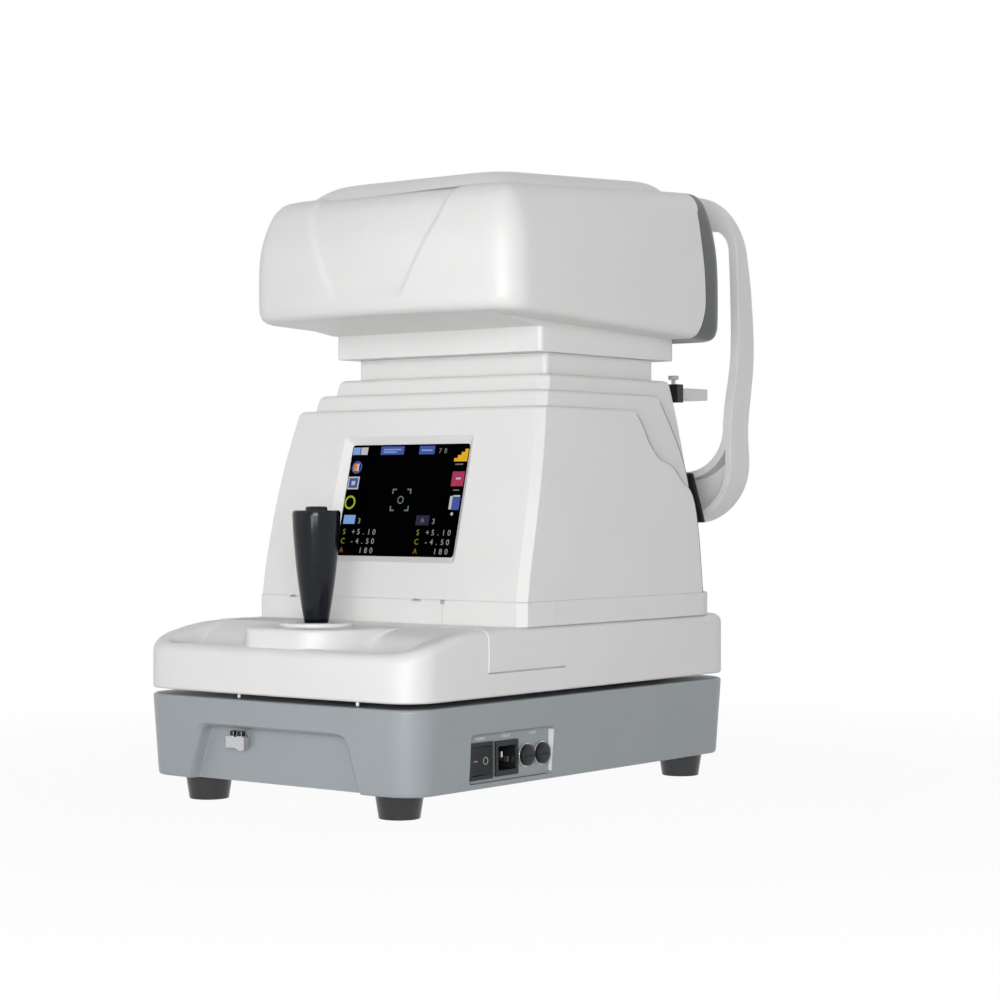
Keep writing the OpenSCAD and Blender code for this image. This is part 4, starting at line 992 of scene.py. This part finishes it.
(x0, y0, z0), (x1, y1, z1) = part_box("brow_pad")
pad_x, pad_z = (x0 + x1) / 2 / MM, (z0 + z1) / 2 / MM
half_x, half_z = (x1 - x0) / 2 / MM, (z1 - z0) / 2 / MM
pad_rings = []
for share, inset in PAD_PROFILE:
    y = (y0 + (y1 - y0) * share) / MM
    edge_x, edge_z = half_x - inset, half_z - inset
    plan = rounded_rect(-edge_x, -edge_z, edge_x, edge_z, max(PAD_CORNER - inset, 1))
    pad_rings.append([
        (pad_x + x, y, pad_z + z - PAD_PULL * (1 - (x / half_x) ** 2) * z / half_z) for x, z in plan])
pad = loft("forehead_pad", pad_rings, 50)
finish_piece(pad, "pad_rubber", "brow_pad")


# --- joystick

grip_r = spline([(8.5, 0), (11.6, 18), (14.6, 41), (16.8, 65.6), (17.5, 79.5)], 6)
grip_top = GRIP_Z + GRIP_H
grip_profile = [(4.2, GRIP_Z), (7.6, GRIP_Z), (8.3, GRIP_Z + 0.7)]
grip_profile += [(r, GRIP_Z + max(h, 1.5)) for r, h in grip_r[1:]]
grip_profile += [(17.1, grip_top - 0.8), (16.2, grip_top), (9.2, grip_top), (8.2, grip_top - 0.8)]
grip_profile += [(8.1, grip_top - 10), (4.2, grip_top - 14)]
grip = lathe("joystick_handle", grip_profile, (0, STICK_Y, 0))
finish_piece(grip, "grip_plastic", "joystick_grip")
foot, top = (corner.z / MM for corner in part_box("joystick_button"))
button = lathe("joystick_key", [
    (6.5, foot), (7.9, foot + 0.8), (7.95, top - 1.4), (7.5, top - 0.5), (6.6, top - 0.1),
    (4.5, top - 0.5), (2, top - 0.8), (0.4, top - 0.85),
], (0, STICK_Y, 0))
finish_piece(button, "grip_plastic", "joystick_button")


# --- port details

CAP_R = 7.8
CAP_H = 3.2
CAP_X = PANEL_X + 1.5
CAP_PROFILE = (
    (3.6, -20), (3.95, -19.5), (3.95, 0.1), (7.2, 0.1), (CAP_R, 0.5), (CAP_R, 1.5), (7.55, 2.1), (6.9, 2.7),
    (5.4, 3.1), (3, CAP_H),
)
FLUTES = 22
FLUTE_DEPTH = 0.35
COIN_SLOT = 0.8


def fuse_cap(name, y):
    """Fluted cap of a fuse holder with a coin slot and its stem."""
    rings = []
    for radius, x in CAP_PROFILE:
        ring = []
        for k in range(FLUTES * 6):
            a = 2 * math.pi * k / (FLUTES * 6)
            r = radius - (FLUTE_DEPTH * (1 - math.cos(FLUTES * a)) / 2 if 0.3 < x < 2 else 0)
            ring.append((CAP_X + x, y + r * math.cos(a), DEVICE_Z + r * math.sin(a)))
        rings.append(ring)
    cap = loft(name, rings)
    face = CAP_X + CAP_H
    cut(cap, box("slot", (face - 1.2, y - 9, DEVICE_Z - COIN_SLOT), (face + 1, y + 9, DEVICE_Z + COIN_SLOT)))
    even_normals(cap, 30)
    return cap


for node, y in zip(("fuse_cap_front", "fuse_cap_rear"), FUSE_Y):
    finish_piece(fuse_cap(node + "_fluted", y), "black_plastic", node)


def on_rocker(x, y, z):
    """Point given in the rocker's own frame."""
    at_x, at_y, at_z = ROCKER_AT
    c, s = math.cos(math.radians(-ROCKER_REST)), math.sin(math.radians(-ROCKER_REST))
    return (at_x + x * c - y * s, at_y + x * s + y * c, at_z + z)


def rocker_face(y, lift):
    """Height of the rocker's face over its axis, with a lift off the plastic."""
    return 4.6 + 1.4 * abs(y) / 9.2 + lift


def rocker_mark(name, loops):
    """White mark on the rocker's face from outlines of Y, Z points."""
    points, faces = [], []
    for loop in loops:
        start, count = len(points), len(loop)
        for lift in (-0.1, 0.06):
            points += [on_rocker(rocker_face(y, lift), y, z) for y, z in loop]
        faces += band(start, start + count, count)
        for first in (start, start + count):
            last = first + count - 1
            faces += [(first + i, first + i + 1, last - i - 1, last - i) for i in range(count // 2 - 1)]
    return add_mesh(name, points, faces)


def nought(half_y, half_z):
    """Outline of the mark on the rocker's rear half, back to its first point."""
    return [(4.6 + half_y * c, half_z * s) for c, s in arc(0, 0, 1, 0, 2 * math.pi, 40)]


marks = rocker_mark("rocker_marks", [
    [(-6.6, -0.45), (-2.6, -0.45), (-2.6, 0.45), (-6.6, 0.45)],
    nought(2.2, 2.8) + list(reversed(nought(1.5, 2.1))),
])
finish_piece(marks, "white_plastic", body="power_rocker", paint="mark_ink")


# --- what the screen shows

LIT = {
    "white": (0.52, 0.53, 0.52), "text": (0.30, 0.31, 0.31), "indigo": (0.022, 0.018, 0.045),
    "blue": (0.06, 0.09, 0.35), "pale": (0.20, 0.36, 0.72), "yellow": (0.80, 0.44, 0.012),
    "lime": (0.36, 0.42, 0.03), "olive": (0.21, 0.23, 0.02), "amber": (0.22, 0.10, 0.02),
    "red": (0.42, 0.035, 0.10), "orange": (0.70, 0.22, 0.045), "grey": (0.15, 0.20, 0.19),
}
for name, colour in LIT.items():
    lit("lit_" + name, colour)
GLASS_LIFT = 0.05
PIXEL_T = 0.12
LAYER_T = 0.08
shown = {name: ([], []) for name in LIT}


def put(colour, outline, layer=0):
    """Adds a flat lit patch; the outline is in shares of the screen's width and height from its top left."""
    points, faces = shown[colour]
    start, count = len(points), len(outline)
    face_depth = SCREEN_DEPTH - GLASS_LIFT - LAYER_T * layer
    for depth in (face_depth - PIXEL_T, face_depth):
        points += [on_screen((u - 0.5) * SCREEN_W, depth, (0.5 - v) * SCREEN_H) for u, v in outline]
    middle, end = start + count, start + 2 * count
    faces += [tuple(range(start, middle)), tuple(reversed(range(middle, end)))]
    faces += band(start, middle, count)


def bar(colour, u0, v0, u1, v1, layer=0):
    """Lit rectangle, on another one from layer 1 on."""
    put(colour, [(u0, v0), (u1, v0), (u1, v1), (u0, v1)], layer)


def hoop(colour, u, v, radius, width):
    """Lit ring as short pieces; sizes in millimetres."""
    outer, inner = (
        [(u + x / SCREEN_W, v + y / SCREEN_H) for x, y in arc(0, 0, r, 0, 2 * math.pi, 32)]
        for r in (radius, radius - width))
    for k in range(32):
        put(colour, [outer[k], outer[k + 1], inner[k + 1], inner[k]])


def spell(points, faces, text, height, thickness, bold, spot):
    """Adds generic characters; spot gives the place of a point of the character with a number."""
    for place, character in enumerate(text):
        curve = adjust(bpy.data.curves.new("letter", "FONT"), body=character, size=height * 1.38,
                       align_x="CENTER", extrude=thickness / 2, offset=bold)
        letter = new_object("letter", curve)
        gather(points, faces, final_mesh(letter), lambda at: spot(place, at))
        bpy.data.objects.remove(letter)


def words(colour, text, u0, u1, v, height, layer=0):
    """Lit characters evenly spaced from u0 to u1 with their feet at v."""
    pitch = (u1 - u0) / len(text)
    depth = SCREEN_DEPTH - GLASS_LIFT - PIXEL_T / 2 - LAYER_T * layer
    up0 = (0.5 - v) * SCREEN_H
    spell(*shown[colour], text, height, PIXEL_T, 0.0, lambda place, at: on_screen(
        (u0 + (place + 0.5) * pitch - 0.5) * SCREEN_W + at.x, depth - at.z, up0 + at.y))


BARS = (
    ("pale", 0.005, 0.018, 0.068, 0.085), ("white", 0.075, 0.018, 0.135, 0.085),
    ("blue", 0.25, 0.012, 0.45, 0.088), ("pale", 0.275, 0.035, 0.425, 0.048, 1),
    ("pale", 0.275, 0.058, 0.39, 0.070, 1), ("blue", 0.58, 0.012, 0.71, 0.088),
    ("pale", 0.60, 0.045, 0.69, 0.058, 1), ("grey", 0.90, 0.175, 0.965, 0.186),
    ("red", 0.89, 0.245, 0.99, 0.375), ("white", 0.925, 0.30, 0.965, 0.315, 1),
    ("grey", 0.915, 0.405, 0.965, 0.415), ("blue", 0.925, 0.468, 0.985, 0.585),
    ("white", 0.90, 0.462, 0.922, 0.580), ("white", 0.925, 0.455, 0.98, 0.468),
    ("orange", 0.032, 0.165, 0.058, 0.235), ("white", 0.060, 0.165, 0.080, 0.235),
    ("white", 0.004, 0.285, 0.10, 0.40), ("blue", 0.014, 0.298, 0.09, 0.388, 1),
    ("white", 0.038, 0.325, 0.068, 0.362, 2), ("pale", 0.02, 0.635, 0.12, 0.715),
    ("indigo", 0.645, 0.635, 0.755, 0.722),
)
for row in BARS:
    bar(*row)
words("grey", "78", 0.735, 0.825, 0.08, 4.0)
for k in range(4):
    bar("yellow", 0.885 + 0.027 * k, 0.125 - 0.027 * k, 0.911 + 0.027 * k, 0.155)
hoop("white", 0.935, 0.62, 1.2, 1.1)
hoop("blue", 0.062, 0.20, 5.0, 1.3)
hoop("lime", 0.05, 0.52, 5.4, 1.5)
words("text", "3", 0.135, 0.18, 0.71, 4.2)
words("grey", "A", 0.675, 0.725, 0.70, 4.0, 1)
words("text", "3", 0.77, 0.815, 0.71, 4.2)
ROWS = (("S", "+5.10", 0.08, "olive"), ("C", "-4.50", 0.08, "olive"), ("A", "180", 0.165, "amber"))
for u in (0.02, 0.655):
    for row, (letter, number, indent, colour) in enumerate(ROWS):
        foot = 0.81 + 0.083 * row
        words(colour, letter, u, u + 0.045, foot, 4.4)
        words("text", number, u + indent, u + 0.305, foot, 4.4)
hoop("grey", 0.486, 0.497, 3.0, 0.8)
for sx in (-1, 1):
    for sy in (-1, 1):
        u, v = 0.486 + sx * 0.08, 0.497 + sy * 0.10
        for du, dv in ((0.035, 0.012), (0.009, 0.045)):
            (u0, u1), (v0, v1) = sorted((u, u - sx * du)), sorted((v, v - sy * dv))
            bar("grey", u0, v0, u1, v1)
for colour, (points, faces) in shown.items():
    picture = add_mesh("screen_" + colour, points, faces)
    finish_piece(picture, "screen_glass", body="carriage", paint="lit_" + colour)


# --- small details

LABELS = (("POWER", ROCKER_AT[1]), ("INPUT", INLET_Y), ("FUSE", sum(FUSE_Y) / 2))
LABEL_Z = 51.9
LABEL_H = 2.2
LABEL_T = 0.1
points, faces = [], []
for text, y in LABELS:
    spell(points, faces, text, LABEL_H, LABEL_T, 0.08, lambda place, at: (
        PANEL_X + LABEL_T / 2 + at.z, y + (place + 0.5 - len(text) / 2) * LABEL_H + at.x, LABEL_Z + at.y))
finish_piece(add_mesh("port_labels", points, faces), "white_plastic", body="base", paint="label_ink")

GLIDES = ((-32, -244.5), (80, -244.2))
GLIDE_PROFILE = [(0.6, 78.6), (1.0, 78.9), (1.2, 79.6), (1.2, 82.6), (0.8, 83)]
glides = merged("glides", [lathe("glide", GLIDE_PROFILE, (x, y, 0), 24) for x, y in GLIDES])
finish_piece(glides, "white_plastic", body="carriage")

# Painted light: a white sheet on the port recess's rear wall, which faces the lamps, makes that lit wall
# brighter than the grey base
LIT_WALL_T = 0.7
lit_wall_sheet = loft("port_wall_painted_light", [
    level(rounded_rect(PANEL_X, PORT_REAR - LIT_WALL_T, BASE_HALF - draft_at(z), PORT_REAR - 0.05, 0.3, 4), z)
    for z in (PORT_LOW + 2, 33, 45, PORT_HIGH - 2)])
finish_piece(lit_wall_sheet, "white_plastic", body="base")

LOCK_FACE = FRONT_Y + RECESS_DEPTH - 9
PRONGS = ((-5.5, -1.9), (1.4, 6.0))
SLEEVE_RINGS = ((0, 4.6), (0, 7.8), (0.15, 8.0), (0.5, 8.15))
SLEEVE_T = 0.15


def sleeve(x0, x1):
    """Dark sleeve round one of the lock's prongs."""
    rings = []
    for inset, z in SLEEVE_RINGS:
        grow = SLEEVE_T - inset
        plan = rounded_rect(LOCK_X + x0 - grow, LOCK_FACE + 0.6 - grow,
                            LOCK_X + x1 + grow, LOCK_FACE + 4.8 + grow, 0.9, 4)
        rings.append(level(plan, LOCK_Z + z))
    return loft("sleeve", rings)


sleeves = merged("lock_sleeves", [sleeve(x0, x1) for x0, x1 in PRONGS])
finish_piece(sleeves, "black_plastic", body="lock_knob")


# --- carried CAD nodes

NODE_SLOT = {
    "bright_steel": ["base_screws", "inlet_pins", "lift_motor", "chin_motor", "lift_screw", "chin_screw",
                     "joystick_shaft", "gimbal_ring"],
    "rail_steel": ["depth_rails", "side_rails", "lift_rods"],
    "bush_brass": ["depth_bushes", "side_bushes"],
    "frame_metal": ["base_plate", "rail_blocks", "cross_plate", "carriage_plate", "power_supply",
                    "lift_plate", "optical_bench"],
    "black_plastic": ["joystick_socket", "lens_barrel", "camera_module"],
    "window_glass": ["window_glass"],
    "board": ["main_board"],
}
for slot, nodes in NODE_SLOT.items():
    for node in nodes:
        obj = frame["nodes"][node]
        painted(obj, slot)
        adjust(obj.modifiers.new("edges", "EDGE_SPLIT"), split_angle=math.radians(35))


# --- stage

PHOTO_PX = 1000
FOCAL_PX = 2385.5
HORIZON_PX = 496.5
CAMERA_AT = (1.1590, -1.4761, 0.2225)
CAMERA_TURN = 37.8
SENSOR = 36


def maths(tree, operation, first, second):
    """Two values put together."""
    return add_node(tree, "Math", {0: first, 1: second}, operation=operation)


def camera_share(tree):
    """1 for rays straight from the camera, mirrored or through glass, 0 for the others."""
    path = tree.nodes.new("ShaderNodeLightPath").outputs
    seen = maths(tree, "MAXIMUM", path["Is Camera Ray"], path["Is Glossy Ray"])
    return maths(tree, "MAXIMUM", seen, path["Is Transmission Ray"])


def shown_as(tree, output, share, plain, bright):
    """Mixes two shaders by a share into what a tree puts out."""
    mix = add_node(tree, "MixShader", {0: share, 1: plain, 2: bright})
    tree.links.new(mix, tree.nodes[output].inputs["Surface"])


def eased(tree, source, *spans):
    """Value mapped from one span to another with soft ends."""
    return ranged(tree, source, *spans, interpolation_type="SMOOTHERSTEP")


PURE_WHITE = (1, 1, 1, 1)
LEVEL_GLOW = 0.63
ZENITH_GLOW = 0.33
RIGHT_SHARE = 0.55
world = bpy.data.worlds.new("studio")
scene.world = world
world.use_nodes = True
sky = world.node_tree
soft = sky.nodes["Background"]
parts = sky.nodes.new("ShaderNodeSeparateXYZ")
feed(sky, parts, {0: add_node(sky, "TexCoord", {}, "Generated")})
by_height = eased(sky, parts.outputs["Z"], 0.05, 0.8, LEVEL_GLOW, ZENITH_GLOW)
by_side = eased(sky, parts.outputs["X"], 0.1, 0.95, 1.0, RIGHT_SHARE)
feed(sky, soft, {"Color": PURE_WHITE, "Strength": maths(sky, "MULTIPLY", by_height, by_side)})
bright = add_node(sky, "Background", {"Color": PURE_WHITE, "Strength": 1.0})
shown_as(sky, "World Output", camera_share(sky), soft.outputs[0], bright)

FLOOR_HALF = 12000
FLOOR_NEAR = 0.22
FLOOR_FAR = 1.0
FLOOR_GLOW = 0.93
corners = [(x * FLOOR_HALF, y * FLOOR_HALF, 0) for x, y in ((-1, -1), (1, -1), (1, 1), (-1, 1))]
floor = add_mesh("floor", corners, [(0, 1, 2, 3)])
paper, matt = new_material("floor_paper")
feed(paper, matt, {
    "Base Color": tinted(paper, noise(paper, 3, 2), (0.87, 0.87, 0.87), (0.9, 0.9, 0.9)),
    "Roughness": 0.9, "Specular IOR Level": 0.1,
})
glow = add_node(paper, "Emission", {"Color": PURE_WHITE, "Strength": 1.0})
reach = add_node(
    paper, "VectorMath", {0: add_node(paper, "TexCoord", {}, "Object")}, "Value", operation="LENGTH")
by_reach = eased(paper, reach, FLOOR_NEAR, FLOOR_FAR, FLOOR_GLOW, 1.0)
share = maths(paper, "MULTIPLY", camera_share(paper), by_reach)
shown_as(paper, "Material Output", share, matt.outputs[0], glow)
painted(floor, "floor_paper")


def area_lamp(name, place, target, size, watts):
    """Soft square lamp."""
    light = adjust(bpy.data.lights.new(name, "AREA"), shape="SQUARE", size=size, energy=watts)
    turn = (Vector(target) - Vector(place)).to_track_quat("-Z", "Y")
    adjust(new_object(name, light), location=place, rotation_euler=turn.to_euler())


area_lamp("key", (1.38, -1.96, 0.46), (0, 0, 0.25), 0.85, 28)
area_lamp("left", (-1.13, -2.12, 0.5), (0, 0, 0.25), 1.6, 1.5)
area_lamp("low", (0.62, -1.72, 0.09), (0.06, -0.22, 0.08), 0.3, 2.4)
area_lamp("back", (0.4, 2.0, 1.8), (0, 0, 0.25), 1.4, 3)

shift = (HORIZON_PX - PHOTO_PX / 2) / PHOTO_PX
lens = adjust(
    bpy.data.cameras.new("camera"), sensor_width=SENSOR, lens=SENSOR * FOCAL_PX / PHOTO_PX, shift_y=shift)
scene.camera = adjust(
    new_object("camera", lens), location=CAMERA_AT, rotation_euler=(QUARTER, 0, math.radians(CAMERA_TURN)))
scene.view_settings.view_transform = "Standard"
